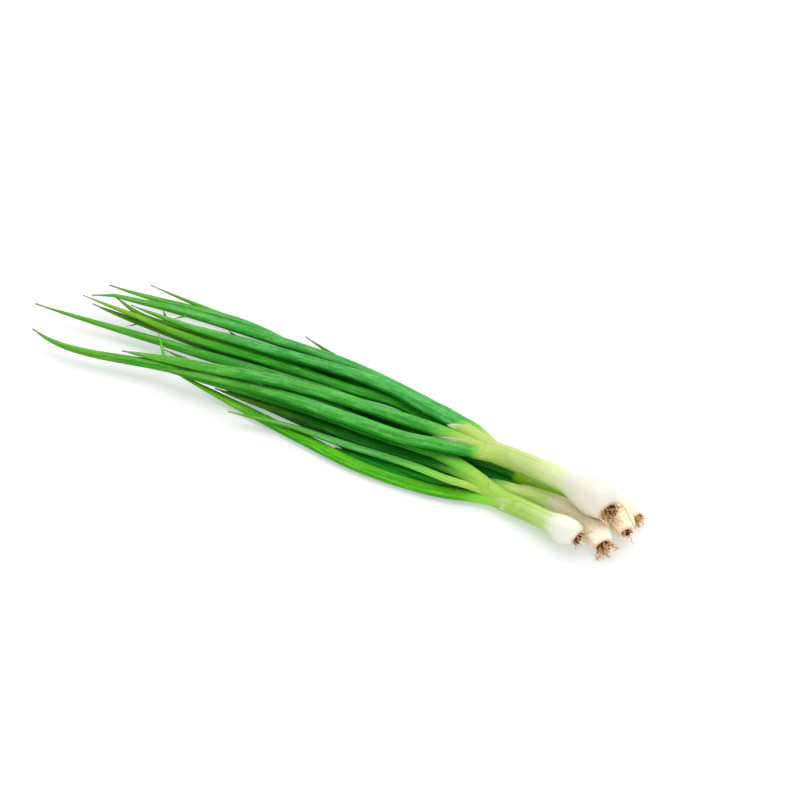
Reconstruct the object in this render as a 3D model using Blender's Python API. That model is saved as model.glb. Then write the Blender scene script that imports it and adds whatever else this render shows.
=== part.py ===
"""A bunch of five spring onions lying loose on a level surface.

Each plant is a bulb and stem with the lower sheaths of its leaves, a tuft of trimmed roots,
and its hollow leaves. The bulbs are at +X and the leaves run towards -X. Sizes and places are
given in millimetres and become metres where a shape is made.
"""

import math
import random
from dataclasses import dataclass

import bmesh
import bpy
import numpy as np
from mathutils import Vector

MM = 0.001

# Whole bunch
MIDDLE = (-35.7, -30.6)  # plan point that the bunch is centred on
FLAT = 0.3  # how deep each lower bulb is flattened where it rests
FLOOR_BLOCK = (0.6, 0.3, 0.02)  # block that cuts the flats, in metres
FLOOR_CLEAR = 0.1  # space between the surface and the leaves that lie on it
CLEAR = 0.5  # space between two strands that lie on each other
JOIN_GAP = 0.3  # space between two pieces that meet

# How strands settle
STATION = 4.0  # length between two stations
SAG = 0.010  # how far a free station hangs below the middle of its neighbours
SETTLE_ROUNDS = 3000
SMOOTH_ROUNDS = 3
END_DROOP = 1.0  # how much lower a stem's root end is than its next station

# Leaves
LEAF_FLATNESS = 0.64  # height of a leaf's section over its width
LEAF_SIDES = 8
TIP_WIDTH = 1.2
BASE_SHARE = 0.88  # width of a leaf inside its stem over its full width
WIDEN_LENGTH = 80.0  # length over which a leaf reaches its full width
TAPER_START = 0.35  # share of the length where a leaf starts to taper
TAPER_POWERS = (3.0, 0.95)  # how late and how bluntly a leaf tapers
INSIDE_STEM = 34.0  # length of a leaf's sheath inside the stem
SIBLING_FREE = 68.0  # length over which a leaf may meet the others of its plant
BLADE_RING = 14.0  # length between two rings of a leaf
SHEATH_RING = 10.0
END_RING = 1.0  # length from a tube's end to the ring that squares it
SPARE = 7.0  # length of sheath past the point where a leaf comes clear of the others

# Bulbs, as shares of a bulb's diameter
PLATE_SHARE = 0.42
WIDEST_AT = 0.55
NECK_END = 1.7
BULB_RINGS = (0.0, 0.04, 0.16, 0.34, 0.55, 0.8, 1.05, 1.35, 1.7)
STEM_SIDES = 16
STEM_RING = 11.0

# Where a stem ends among the sheaths of its leaves
FORK_TAPER = 0.3  # share of the width that the stem loses there
FORK_LENGTH = 10.0

# Roots
PLATE_THICK = 1.4
ROOT_THICK = 1.0
ROOT_POINTS = 4
ROOT_CIRCLE = 0.85  # radius of the outer roots' places over the plate's
ROOT_JITTER = 0.3  # largest turn of a root's place, in radians
ROOT_SHORTEST = 0.45  # shortest root over the longest
ROOT_SPREAD = 0.9  # sideways share of an outer root's direction
ROOT_DROOP = 0.25


@dataclass(frozen=True)
class Plant:
    """Bulb and stem diameters, plan points from root plate to fork, and the roots."""

    bulb: float
    stem: float
    course: tuple
    roots: int
    root_length: float
    seed: int


@dataclass(frozen=True)
class Leaf:
    """A leaf's width, the height of its tip, and its plan points from the fork to the tip."""

    name: str
    plant: str
    width: float
    tip_height: float
    course: tuple


PLANTS = {
    "a": Plant(22.0, 13.0, ((170.5, -62.5), (160, -57.5), (131, -47.5), (80, -40)), 16, 7.5, 1),
    "b": Plant(16.0, 11.5, ((160, -79), (151, -76.5), (127, -69), (96, -63)), 13, 4.5, 2),
    "c": Plant(15.0, 10.5, ((173, -72.5), (166.5, -67.5), (140, -53), (104, -52)), 13, 7.5, 3),
    "d": Plant(14.0, 10.0, ((180.5, -58), (173.5, -52), (144, -41.5), (86, -38)), 11, 3.5, 4),
    "e": Plant(13.0, 9.0, ((179.5, -41), (171.5, -37), (142, -29), (84, -24)), 13, 5.0, 5),
}

# Each leaf's plan points from the fork to the tip, from the lowest leaf to the highest
LOWER_LEAVES = (
    Leaf(
        "leaf_b1", "b", 9.0, 8.0,
        ((97, -68), (62, -74), (14, -75), (-30, -68), (-80, -60), (-135, -54)),
    ),
    Leaf("leaf_c1", "c", 8.0, 5.0, ((104, -56), (60, -68), (16, -64), (-33, -53), (-104, -49))),
    Leaf(
        "leaf_c2", "c", 8.5, 5.0,
        ((104, -52), (60, -57), (20, -54), (-40, -45), (-100, -37), (-157, -33)),
    ),
    Leaf(
        "leaf_c3", "c", 9.5, 10.0,
        ((104, -49), (60, -48), (10, -43), (-60, -33), (-123, -16), (-225, -18)),
    ),
    Leaf(
        "leaf_d1", "d", 8.5, 14.0,
        ((86, -35), (40, -28), (-40, -18), (-130, -4), (-192, -13), (-214, -8)),
    ),
    Leaf(
        "leaf_e1", "e", 7.5, 9.0,
        ((84, -21), (40, -9), (-20, 4), (-83, 14), (-138, 21), (-207, 22)),
    ),
    Leaf(
        "leaf_e2", "e", 8.0, 9.0,
        ((84, -24), (40, -15), (-20, -3), (-79, 8), (-123, 16), (-231, 8)),
    ),
    Leaf("leaf_e4", "e", 8.5, 5.0, ((84, -27), (40, -20), (-40, -6), (-100, 1), (-150, 1))),
    Leaf("leaf_e3", "e", 5.0, 9.0, ((84, -22), (30, -11), (1, -2), (-39, 7), (-82, 20))),
    Leaf(
        "leaf_d2", "d", 10.0, 11.0,
        ((86, -41), (18, -32), (-55, -31), (-94, -29), (-193, -31), (-257, -38)),
    ),
    Leaf(
        "leaf_d3", "d", 9.0, 12.0,
        ((86, -37), (50, -32), (14, -22), (-25, -19), (-72, -15), (-154, -18), (-235, -15)),
    ),
    Leaf("leaf_b2", "b", 8.5, 5.0, ((97, -64), (56, -61), (0, -59), (-38, -55), (-103, -53))),
    Leaf(
        "leaf_b3", "b", 9.5, 10.0,
        ((98, -61), (61, -58), (-4, -53), (-77, -51), (-142, -56), (-228, -65), (-240, -62)),
    ),
    Leaf(
        "leaf_b4", "b", 5.5, 7.0,
        ((97, -66), (72, -70), (40, -68), (5, -67), (-38, -66), (-80, -72)),
    ),
)
UPPER_LEAVES = (
    Leaf(
        "leaf_a1", "a", 9.0, 13.0,
        ((81, -30), (38, -18), (-21, -2), (-77, 4), (-169, 2), (-229, -13)),
    ),
    Leaf(
        "leaf_a2", "a", 10.0, 16.0,
        ((81, -35), (36, -26), (-21, -12), (-90, -10), (-149, -13), (-196, -14)),
    ),
    Leaf("leaf_a3", "a", 10.5, 10.0, ((85, -51), (54, -59), (-3, -57), (-76, -54), (-136, -60))),
    Leaf(
        "leaf_a4", "a", 10.5, 12.0,
        ((81, -41), (44, -39), (-12, -40), (-78, -50), (-114, -52), (-172, -56)),
    ),
)


def smooth_course(points, spacing):
    """Points of a smooth curve through the given ones, and the length to each."""
    given = np.array(points, float)
    knots = np.r_[0, np.cumsum(np.linalg.norm(np.diff(given, axis=0), axis=1))]
    slopes = np.gradient(given, knots, axis=0)
    length = np.linspace(0, knots[-1], int(knots[-1] / spacing) + 2)
    first = np.clip(np.searchsorted(knots, length, side="right") - 1, 0, len(given) - 2)
    span = (knots[first + 1] - knots[first])[:, None]
    t = (length - knots[first])[:, None] / span
    smooth = t * t * (3 - 2 * t)
    course = given[first] + smooth * (given[first + 1] - given[first])
    course += span * t * (1 - t) * ((1 - t) * slopes[first] - t * slopes[first + 1])
    return course, length


def ease(value):
    """0 to 1 with level ends."""
    t = np.clip(value, 0, 1)
    return t * t * (3 - 2 * t)


def stem_radius(plant, length):
    """Radius at each length from the root plate: a round bulb that narrows to the stem."""
    widest = WIDEST_AT * plant.bulb
    rise = np.clip(1 - length / widest, 0, 1)
    plate = PLATE_SHARE * plant.bulb / 2
    round_end = plate + (plant.bulb / 2 - plate) * np.sqrt(1 - rise**2)
    neck = ease((length - widest) / (NECK_END * plant.bulb - widest))
    stem = plant.bulb / 2 + (plant.stem - plant.bulb) / 2 * neck
    fork = 1 - FORK_TAPER * ease((length - length[-1]) / FORK_LENGTH + 1)
    return np.where(length < widest, round_end, stem * fork)


def leaf_radius(leaf, length):
    """Half the width at each length: wider after the stem, then a long taper."""
    grown = BASE_SHARE + (1 - BASE_SHARE) * ease(length / WIDEN_LENGTH)
    share = np.clip(length / length[-1], TAPER_START, 1) - TAPER_START
    late, blunt = TAPER_POWERS
    taper = (1 - (share / (1 - TAPER_START)) ** late) ** blunt
    return np.maximum(leaf.width / 2 * grown * taper, TIP_WIDTH / 2)


class Strand:
    """A stem or a leaf while the bunch is laid: its course, half sizes and heights."""

    def __init__(self, name, plant, points, radius, flatness, tip_height=None, stem=None):
        self.name = name
        self.plant = plant
        self.course, self.length = smooth_course(points, STATION)
        self.half_width = radius(self.length)
        self.half_height = self.half_width * flatness
        self.tip_height = tip_height
        self.stem = stem
        self.height = np.zeros(len(self.length))

    def beside(self, other):
        """Plan distance to the other's course, and its height and half sizes there."""
        start = other.course[:-1]
        along = np.diff(other.course, axis=0)
        to_point = self.course[:, None] - start[None]
        t = np.clip((to_point * along).sum(-1) / (along**2).sum(-1), 0, 1)
        distance = np.linalg.norm(to_point - t[..., None] * along, axis=-1)

        def there(values):
            return values[:-1] + t * np.diff(values)

        return distance, there(other.height), there(other.half_width), there(other.half_height)

    def lowest(self, laid):
        """The least height of each station over the surface and the strands laid before."""
        ground = FLOOR_CLEAR if self.stem else -FLAT
        least = self.half_height + ground
        for other in laid:
            distance, height, width, depth = self.beside(other)
            reach = self.half_width[:, None] + width + CLEAR
            over = (self.half_height[:, None] + depth + CLEAR) * np.sqrt(
                np.clip(1 - (distance / reach) ** 2, 0, None)
            )
            need = np.where(distance < reach, height + over, 0).max(axis=1)
            if other.plant == self.plant:
                need[self.length < SIBLING_FREE] = 0
            least = np.maximum(least, need)
        return least

    def settle(self, laid):
        """Lets the strand down onto what lies below it, as a stiff thread would hang."""
        least = self.lowest(laid)
        height = least.copy()
        if self.stem:
            height[0] = self.stem.height_at(self.course[0])
            height[-1] = max(self.tip_height, least[-1])
        for _ in range(SETTLE_ROUNDS):
            height[1:-1] = np.maximum(least[1:-1], (height[:-2] + height[2:]) / 2 - SAG)
            if not self.stem:
                height[0] = max(least[0], height[1] - END_DROOP)
        for _ in range(SMOOTH_ROUNDS):
            height[1:-1] = np.maximum(least, np.convolve(height, (0.25, 0.5, 0.25), "same"))[1:-1]
        self.height = height

    def height_at(self, point):
        """Height of the station nearest to a plan point."""
        return self.height[np.linalg.norm(self.course - point, axis=1).argmin()]

    def clear_from(self, other):
        """Length of the last station near the fork that meets the other strand, or 0."""
        distance, height, width, depth = self.beside(other)
        across = distance / (self.half_width[:, None] + width + JOIN_GAP)
        upright = (self.height[:, None] - height) / (self.half_height[:, None] + depth + JOIN_GAP)
        meets = (across**2 + upright**2 < 1).any(axis=1) & (self.length < SIBLING_FREE + SPARE)
        return self.length[meets].max() if meets.any() else 0.0

    def at(self, length):
        """Points, in the bunch's own frame, and half widths at these lengths."""
        columns = (*self.course.T, self.height, self.half_width)
        x, y, z, half = (np.interp(length, self.length, column) for column in columns)
        return np.stack([x - MIDDLE[0], y - MIDDLE[1], z], axis=1), half


def leaf_strand(leaf, stem):
    """A leaf's strand, which starts inside its stem and leaves it at the fork."""
    inside = np.searchsorted(stem.length, stem.length[-1] - INSIDE_STEM)
    points = (stem.course[inside], *leaf.course)
    return Strand(
        leaf.name, leaf.plant, points, lambda length: leaf_radius(leaf, length), LEAF_FLATNESS,
        leaf.tip_height, stem,
    )


def laid_bunch():
    """The stems and the leaves, laid one on another from the surface up."""
    stems = {}
    leaves = {}

    def lay(strand):
        strand.settle([*stems.values(), *leaves.values()])
        return strand

    def lay_stem(name):
        plant = PLANTS[name]
        stems[name] = lay(
            Strand(name, name, plant.course, lambda length: stem_radius(plant, length), 1.0)
        )

    def lay_leaves(group):
        for leaf in group:
            leaves[leaf.name] = lay(leaf_strand(leaf, stems[leaf.plant]))

    for name in ("e", "d", "c", "b"):
        lay_stem(name)
    lay_leaves(LOWER_LEAVES)
    lay_stem("a")
    lay_leaves(UPPER_LEAVES)
    return stems, leaves


def rings(strand, start, end, spacing):
    """Points and half widths of rings between two lengths, even but for one close to each end."""
    count = max(2, round((end - start) / spacing) + 1)
    between = np.linspace(start + END_RING, end - END_RING, count)
    return strand.at(np.r_[start, between, end])


def new_material(name, colour, roughness):
    """A Principled material."""
    material = bpy.data.materials.new(name)
    material.use_nodes = True
    shader = material.node_tree.nodes["Principled BSDF"]
    shader.inputs["Base Color"].default_value = (*colour, 1.0)
    shader.inputs["Roughness"].default_value = roughness
    return material


def new_curve(name, collection):
    """A curve object with closed ends and level sections."""
    curve = bpy.data.curves.new(name, "CURVE")
    curve.dimensions = "3D"
    curve.twist_mode = "Z_UP"
    curve.use_fill_caps = True
    obj = bpy.data.objects.new(name, curve)
    collection.objects.link(obj)
    return obj


def add_spline(obj, points, radii):
    """Adds a run of straight pieces to a curve object."""
    spline = obj.data.splines.new("POLY")
    spline.points.add(len(points) - 1)
    for control, point, radius in zip(spline.points, points, radii):
        control.co = (*(point * MM), 1.0)
        control.radius = radius


def oval_section(collection):
    """The section of a leaf, 1 mm to each side."""
    section = new_curve("leaf_section", collection)
    section.data.dimensions = "2D"
    turn = 2 * math.pi / LEAF_SIDES
    corners = [
        (math.cos(i * turn), -LEAF_FLATNESS * math.sin(i * turn), 0) for i in range(LEAF_SIDES)
    ]
    add_spline(section, np.array(corners), [1.0] * LEAF_SIDES)
    section.data.splines[0].use_cyclic_u = True
    section.hide_render = True
    section.display_type = "WIRE"
    return section


def leaf_tube(name, strand, start, end, spacing, section, collection):
    """A stretch of a leaf as a curve object with the leaf's section."""
    obj = new_curve(name, collection)
    obj.data.bevel_mode = "OBJECT"
    obj.data.bevel_object = section
    add_spline(obj, *rings(strand, start, end, spacing))
    return obj


def to_mesh(obj, collection):
    """Replaces a curve object by a closed mesh object of the same name."""
    graph = bpy.context.evaluated_depsgraph_get()
    mesh = bpy.data.meshes.new_from_object(obj.evaluated_get(graph))
    name, matrix = obj.name, obj.matrix_world.copy()
    bpy.data.objects.remove(obj)
    shape = bmesh.new()
    shape.from_mesh(mesh)
    bmesh.ops.remove_doubles(shape, verts=shape.verts, dist=0.001 * MM)
    bmesh.ops.recalc_face_normals(shape, faces=shape.faces)
    shape.to_mesh(mesh)
    shape.free()
    made = bpy.data.objects.new(name, mesh)
    made.matrix_world = matrix
    collection.objects.link(made)
    return made


def apply_modifiers(obj):
    """Makes the object's evaluated mesh its own."""
    graph = bpy.context.evaluated_depsgraph_get()
    mesh = bpy.data.meshes.new_from_object(obj.evaluated_get(graph))
    obj.modifiers.clear()
    obj.data = mesh


def fuse(obj, pieces):
    """Joins a collection's pieces to the object and removes them."""
    union = obj.modifiers.new("fuse", "BOOLEAN")
    union.operation = "UNION"
    union.operand_type = "COLLECTION"
    union.collection = pieces
    apply_modifiers(obj)
    for piece in list(pieces.objects):
        bpy.data.objects.remove(piece)
    bpy.data.collections.remove(pieces)


def new_collection(name, parent):
    """A collection inside another."""
    collection = bpy.data.collections.new(name)
    parent.children.link(collection)
    return collection


def build_stem(name, stem, sheaths, section, floor, collection):
    """A bulb and stem, fused with the sheaths, and flat underneath where it rests."""
    pieces = new_collection(f"sheaths_{name}", collection)
    for leaf_name, (strand, length) in sheaths.items():
        tube = leaf_tube(f"{leaf_name}_sheath", strand, 0.0, length, SHEATH_RING, section, pieces)
        to_mesh(tube, pieces)
    curve = new_curve(f"onion_{name}", collection)
    curve.data.bevel_depth = MM
    curve.data.bevel_resolution = STEM_SIDES // 2 - 2
    bulb = np.array(BULB_RINGS) * PLANTS[name].bulb
    count = round((stem.length[-1] - bulb[-1]) / STEM_RING) + 1
    along = np.linspace(bulb[-1], stem.length[-1] - FORK_LENGTH, count)[1:]
    add_spline(curve, *stem.at(np.r_[bulb, along, stem.length[-1]]))
    obj = to_mesh(curve, collection)
    fuse(obj, pieces)
    cut = obj.modifiers.new("flat", "BOOLEAN")
    cut.operation = "DIFFERENCE"
    cut.object = floor
    return obj


def build_floor_cutter(collection):
    """The block under the bunch that flattens the lower bulbs."""
    bpy.ops.mesh.primitive_cube_add(size=1)
    floor = bpy.context.object
    floor.name = "floor_cutter"
    floor.scale = FLOOR_BLOCK
    floor.location.z = -FLOOR_BLOCK[2] / 2
    bpy.ops.object.transform_apply(location=True, rotation=False, scale=True)
    for holder in list(floor.users_collection):
        holder.objects.unlink(floor)
    collection.objects.link(floor)
    floor.hide_render = True
    floor.display_type = "WIRE"
    return floor


def build_roots(name, stem, collection):
    """A root plate with trimmed roots that spread from it."""
    plant = PLANTS[name]
    dice = random.Random(plant.seed)
    (end, inner), _ = stem.at(np.array([0.0, STATION]))
    out = Vector(end - inner).normalized()
    turn = out.to_track_quat("Z", "Y").to_matrix()
    plate_radius = PLATE_SHARE * plant.bulb / 2
    middle = Vector(end) + out * (JOIN_GAP + PLATE_THICK / 2)
    bpy.ops.mesh.primitive_cylinder_add(
        vertices=12, radius=plate_radius * MM, depth=PLATE_THICK * MM, location=middle * MM,
        rotation=turn.to_euler(),
    )
    plate = bpy.context.object
    plate.name = f"roots_{name}"
    for holder in list(plate.users_collection):
        holder.objects.unlink(plate)
    collection.objects.link(plate)
    pieces = new_collection(f"loose_roots_{name}", collection)
    for i in range(plant.roots):
        angle = i * math.pi * (3 - math.sqrt(5)) + dice.uniform(-ROOT_JITTER, ROOT_JITTER)
        share = math.sqrt((i + 0.5) / plant.roots) * ROOT_CIRCLE
        radial = turn @ Vector((math.cos(angle), math.sin(angle), 0))
        heading = (out + radial * share * ROOT_SPREAD).normalized()
        length = plant.root_length * dice.uniform(ROOT_SHORTEST, 1.0)
        start = middle - out * (PLATE_THICK / 4) + radial * plate_radius * share
        curve = new_curve(f"root_{i}", pieces)
        curve.data.bevel_depth = MM
        curve.data.bevel_resolution = 0
        points = []
        for k in range(ROOT_POINTS):
            along = length * k / (ROOT_POINTS - 1)
            point = start + heading * along
            point.z = max(point.z - ROOT_DROOP * along**2 / plant.root_length, ROOT_THICK)
            points.append(np.array(point))
        add_spline(curve, points, [ROOT_THICK / 2] * ROOT_POINTS)
        to_mesh(curve, pieces)
    fuse(plate, pieces)
    return plate


def blade_start(strand, stems, leaves):
    """Length at which a leaf is clear of its stem and of its siblings."""
    family = [leaf for leaf in leaves.values() if leaf.plant == strand.plant]
    others = [*family, stems[strand.plant]]
    return max(strand.clear_from(other) for other in others if other is not strand) + SPARE


def shade(obj, material):
    """Gives a piece its material and a smooth surface."""
    obj.data.materials.clear()
    obj.data.materials.append(material)
    if obj.type == "MESH":
        obj.data.shade_smooth()


def main():
    """Builds the bunch."""
    for obj in list(bpy.data.objects):
        bpy.data.objects.remove(obj)
    scene = bpy.context.scene.collection
    parts = new_collection("spring_onion_bunch", scene)
    cutters = new_collection("cutters", scene)
    section = oval_section(cutters)
    floor = build_floor_cutter(cutters)

    white = new_material("pale_stem", (0.78, 0.83, 0.58), 0.35)
    green = new_material("leaf_green", (0.06, 0.27, 0.05), 0.38)
    deep_green = new_material("lower_leaf_green", (0.03, 0.17, 0.03), 0.40)
    brown = new_material("root_brown", (0.24, 0.13, 0.06), 0.85)

    stems, leaves = laid_bunch()
    starts = {name: blade_start(leaf, stems, leaves) for name, leaf in leaves.items()}
    for name, stem in stems.items():
        sheaths = {
            leaf.name: (leaf, starts[leaf.name]) for leaf in leaves.values() if leaf.plant == name
        }
        shade(build_stem(name, stem, sheaths, section, floor, parts), white)
        shade(build_roots(name, stem, parts), brown)
    for name, leaf in leaves.items():
        blade = leaf_tube(
            name, leaf, starts[name] + JOIN_GAP, leaf.length[-1], BLADE_RING, section, parts
        )
        shade(blade, green if leaf.plant in "ab" else deep_green)


main()
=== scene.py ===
"""Looks of a loose bunch of five spring onions lying on a pale surface.

The bunch is laid by the same rule and from the same sizes as its solids, so that each leaf,
stem and root tuft here takes the place of its solid. Sizes are given in millimetres.
"""

import logging
import math
from collections.abc import Sequence
from dataclasses import dataclass
from enum import Enum
from typing import Any, Union

import bpy
import numpy as np
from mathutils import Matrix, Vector

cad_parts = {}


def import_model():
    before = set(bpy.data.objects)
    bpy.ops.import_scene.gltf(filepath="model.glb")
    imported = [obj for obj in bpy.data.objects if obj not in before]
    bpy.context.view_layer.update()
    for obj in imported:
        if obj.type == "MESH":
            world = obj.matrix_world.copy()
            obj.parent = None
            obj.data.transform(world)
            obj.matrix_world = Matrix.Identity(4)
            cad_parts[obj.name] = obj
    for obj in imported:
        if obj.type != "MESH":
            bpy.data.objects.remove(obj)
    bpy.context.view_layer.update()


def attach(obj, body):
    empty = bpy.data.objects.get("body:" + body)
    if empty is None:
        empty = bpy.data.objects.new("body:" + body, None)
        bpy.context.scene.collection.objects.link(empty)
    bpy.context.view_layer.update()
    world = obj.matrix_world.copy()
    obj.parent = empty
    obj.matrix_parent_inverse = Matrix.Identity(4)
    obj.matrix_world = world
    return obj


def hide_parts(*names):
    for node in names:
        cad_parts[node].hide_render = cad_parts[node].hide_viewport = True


log = logging.getLogger("spring_onions")

MM = 0.001

# How the bunch is laid, as in its solids. Lengths are in millimetres.
MIDDLE = (-35.7, -30.6)  # middle of the bunch in its plan
FLAT = 0.3  # depth of the flats that the lower stems rest on
FLOOR_CLEAR = 0.1  # between a leaf and the surface
CLEAR = 0.5  # between two strands
STATION = 4.0  # length from one station of a strand to the next
SAG = 0.010  # how far a station hangs under its neighbours
SETTLE_ROUNDS = 3000
SMOOTH_ROUNDS = 3
END_DROOP = 1.0  # how far a stem's end may hang under its next station
LEAF_FLATNESS = 0.64  # height of a leaf over its width
TIP_WIDTH = 1.2
BASE_SHARE = 0.88  # width of a leaf at its start over its full width
WIDEN_LENGTH = 80.0  # length at which it is fully wide
TAPER_START = 0.35  # share of its length at which its taper starts
TAPER_POWERS = (3.0, 0.95)
INSIDE_STEM = 34.0  # length of a leaf inside its stem
SIBLING_FREE = 68.0  # length over which it may run into its own plant
PLATE_SHARE = 0.42  # width of a root plate over its bulb's
WIDEST_AT = 0.55  # where a bulb is widest, over its width
NECK_END = 1.7  # where its neck ends, over its width
FORK_TAPER = 0.3
FORK_LENGTH = 10.0

Colour = tuple[float, float, float]
Spot = tuple[float, float, float]
Course = tuple[tuple[float, float], ...]
Options = Union[dict[Any, Any], None]


class Slot(Enum):
    """The record's material slots."""

    PALE_STEM = "pale_stem"
    LEAF = "leaf_green"
    LOWER_LEAF = "lower_leaf_green"
    ROOT = "root_brown"


class Tone(Enum):
    """The greens of the leaves."""

    BLUE = "blue_green"
    MID = "mid_green"
    OLIVE = "olive_green"
    # The deep green is partly the low leaves' own darker green and partly painted shade where they
    # lie under the others
    DEEP_SHADED = "deep_green"
    LIME = "lime_green"
    FADING = "fading_green"
    SHADED = "shaded_green"
    PALE = "pale_green"


class Kind(Enum):
    """The kinds of input that a Geometry Nodes tree has."""

    COUNT = "NodeSocketInt"
    SIZE = "NodeSocketFloat"
    VECTOR = "NodeSocketVector"
    FINISH = "NodeSocketMaterial"


@dataclass(frozen=True)
class Plant:
    """Bulb and stem diameters, plan points from the root plate to the fork, and its roots."""

    bulb: float
    stem: float
    course: Course
    root_length: float
    seed: int


@dataclass(frozen=True)
class LeafPlan:
    """A leaf's width, the height of its tip, and its plan points from the fork to the tip.

    The green of the blade starts at green_start and is full at green_full, as lengths from the
    leaf's start inside its stem. Cover is how far its sheath stands over the stem's surface,
    late how late the leaf tapers and leaves_at the length at which it has left its stem.
    """

    name: str
    plant: str
    width: float
    tip_height: float
    course: Course
    tone: Tone
    green_start: float = 12.0
    green_full: float = 24.0
    cover: float = 0.0
    late: float = 3.0
    leaves_at: float = 52.0


PLANTS: dict[str, Plant] = {
    "a": Plant(22.0, 13.0, ((170.5, -62.5), (160, -57.5), (131, -47.5), (80, -40)), 7.5, 1),
    "b": Plant(16.0, 11.5, ((160, -79), (151, -76.5), (127, -69), (96, -63)), 4.5, 2),
    "c": Plant(15.0, 10.5, ((173, -72.5), (166.5, -67.5), (140, -53), (104, -52)), 7.5, 3),
    "d": Plant(14.0, 10.0, ((180.5, -58), (173.5, -52), (144, -41.5), (86, -38)), 3.5, 4),
    "e": Plant(13.0, 9.0, ((179.5, -41), (171.5, -37), (142, -29), (84, -24)), 5.0, 5),
}

LOWER_LEAVES = (
    LeafPlan("leaf_b1", "b", 9.0, 8.0,
             ((97, -68), (62, -74), (14, -75), (-30, -68), (-80, -60), (-135, -54)),
             Tone.LIME, 6.0, 60.0, 0.02),
    LeafPlan("leaf_c1", "c", 8.0, 5.0,
             ((104, -56), (60, -68), (16, -64), (-33, -53), (-104, -49)),
             Tone.DEEP_SHADED, 26.0, 50.0, 0.02),
    LeafPlan("leaf_c2", "c", 8.5, 5.0,
             ((104, -52), (60, -57), (20, -54), (-40, -45), (-100, -37), (-157, -33)), Tone.DEEP_SHADED),
    LeafPlan("leaf_c3", "c", 9.5, 10.0,
             ((104, -49), (60, -48), (10, -43), (-60, -33), (-123, -16), (-225, -18)), Tone.DEEP_SHADED),
    LeafPlan("leaf_d1", "d", 8.5, 14.0,
             ((86, -35), (40, -28), (-40, -18), (-130, -4), (-192, -13), (-214, -8)), Tone.DEEP_SHADED),
    LeafPlan("leaf_e1", "e", 7.5, 9.0,
             ((84, -21), (40, -9), (-20, 4), (-83, 14), (-138, 21), (-207, 22)),
             Tone.MID, 20.0, 60.0),
    LeafPlan("leaf_e2", "e", 8.0, 9.0,
             ((84, -24), (40, -15), (-20, -3), (-79, 8), (-123, 16), (-231, 8)),
             Tone.BLUE, 20.0, 60.0),
    LeafPlan("leaf_e4", "e", 8.5, 5.0,
             ((84, -27), (40, -20), (-40, -6), (-100, 1), (-150, 1)), Tone.DEEP_SHADED),
    LeafPlan("leaf_e3", "e", 5.0, 9.0,
             ((84, -22), (30, -11), (1, -2), (-39, 7), (-82, 20)), Tone.DEEP_SHADED, 20.0, 60.0),
    LeafPlan("leaf_d2", "d", 10.0, 11.0,
             ((86, -41), (18, -32), (-55, -31), (-94, -29), (-193, -31), (-257, -38)),
             Tone.OLIVE, 12.0, 20.0, 0.02, 1.7),
    LeafPlan("leaf_d3", "d", 9.0, 12.0,
             ((86, -37), (50, -32), (14, -22), (-25, -19), (-72, -15), (-154, -18), (-235, -15)),
             Tone.FADING),
    LeafPlan("leaf_b2", "b", 8.5, 5.0,
             ((97, -64), (56, -61), (0, -59), (-38, -55), (-103, -53)),
             Tone.SHADED, 24.0, 76.0, 0.01, 3.0, 60.0),
    LeafPlan("leaf_b3", "b", 9.5, 10.0,
             ((98, -61), (61, -58), (-4, -53), (-77, -51), (-142, -56), (-228, -65), (-240, -62)),
             Tone.OLIVE, 34.0, 78.0, 0.04, 3.6, 60.0),
    LeafPlan("leaf_b4", "b", 5.5, 7.0,
             ((97, -66), (72, -70), (40, -68), (5, -67), (-38, -66), (-80, -72)),
             Tone.PALE, 30.0, 110.0, 0.0, 4.0),
)
UPPER_LEAVES = (
    LeafPlan("leaf_a1", "a", 9.0, 13.0,
             ((81, -30), (38, -18), (-21, -2), (-77, 4), (-169, 2), (-229, -13)),
             Tone.BLUE, 34.0, 66.0, 0.0),
    LeafPlan("leaf_a2", "a", 10.0, 16.0,
             ((81, -35), (36, -26), (-21, -12), (-90, -10), (-149, -13), (-196, -14)),
             Tone.BLUE, 46.0, 60.0, 0.0),
    LeafPlan("leaf_a3", "a", 10.5, 10.0,
             ((85, -51), (54, -59), (-3, -57), (-76, -54), (-136, -60)),
             Tone.MID, 28.0, 40.0, 0.03),
    LeafPlan("leaf_a4", "a", 10.5, 12.0,
             ((81, -41), (44, -39), (-12, -40), (-78, -50), (-114, -52), (-172, -56)),
             Tone.MID, 34.0, 76.0, 0.015),
)


def srgb(red: int, green: int, blue: int) -> Colour:
    """Linear colour from the everyday 0 to 255 values.

    Args:
        red: Red, 0 to 255.
        green: Green, 0 to 255.
        blue: Blue, 0 to 255.

    Returns:
        The linear colour.
    """
    def linear(value: float) -> float:
        """One channel made linear."""
        return value / 12.92 if value <= 0.04045 else ((value + 0.055) / 1.055) ** 2.4

    return linear(red / 255), linear(green / 255), linear(blue / 255)


def lightened(colour: Colour, factor: float) -> Colour:
    """A colour made lighter, up to white."""
    return tuple(min(1.0, c * factor + 0.02) for c in colour)


def tinted(colour: Colour, *factors: float) -> Colour:
    """A colour times one factor, or times one for each channel."""
    return tuple(float(c) for c in np.multiply(colour, factors))


def ease(value: Any) -> Any:
    """0 to 1 with level ends."""
    t = np.clip(value, 0, 1)
    return t * t * (3 - 2 * t)


def on_curve(points: np.ndarray, knots: np.ndarray, length: np.ndarray) -> np.ndarray:
    """Places on the smooth curve through the given points.

    Args:
        points: Points to pass through.
        knots: The length to each.
        length: Lengths of the places, from the first knot to the last.

    Returns:
        The places.
    """
    slopes = np.gradient(points, knots, axis=0)
    first = np.clip(np.searchsorted(knots, length, side="right") - 1, 0, len(knots) - 2)
    span = (knots[first + 1] - knots[first])[:, None]
    t = (length - knots[first])[:, None] / span
    curve = points[first] + t * t * (3 - 2 * t) * (points[first + 1] - points[first])
    return curve + span * t * (1 - t) * ((1 - t) * slopes[first] - t * slopes[first + 1])


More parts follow.
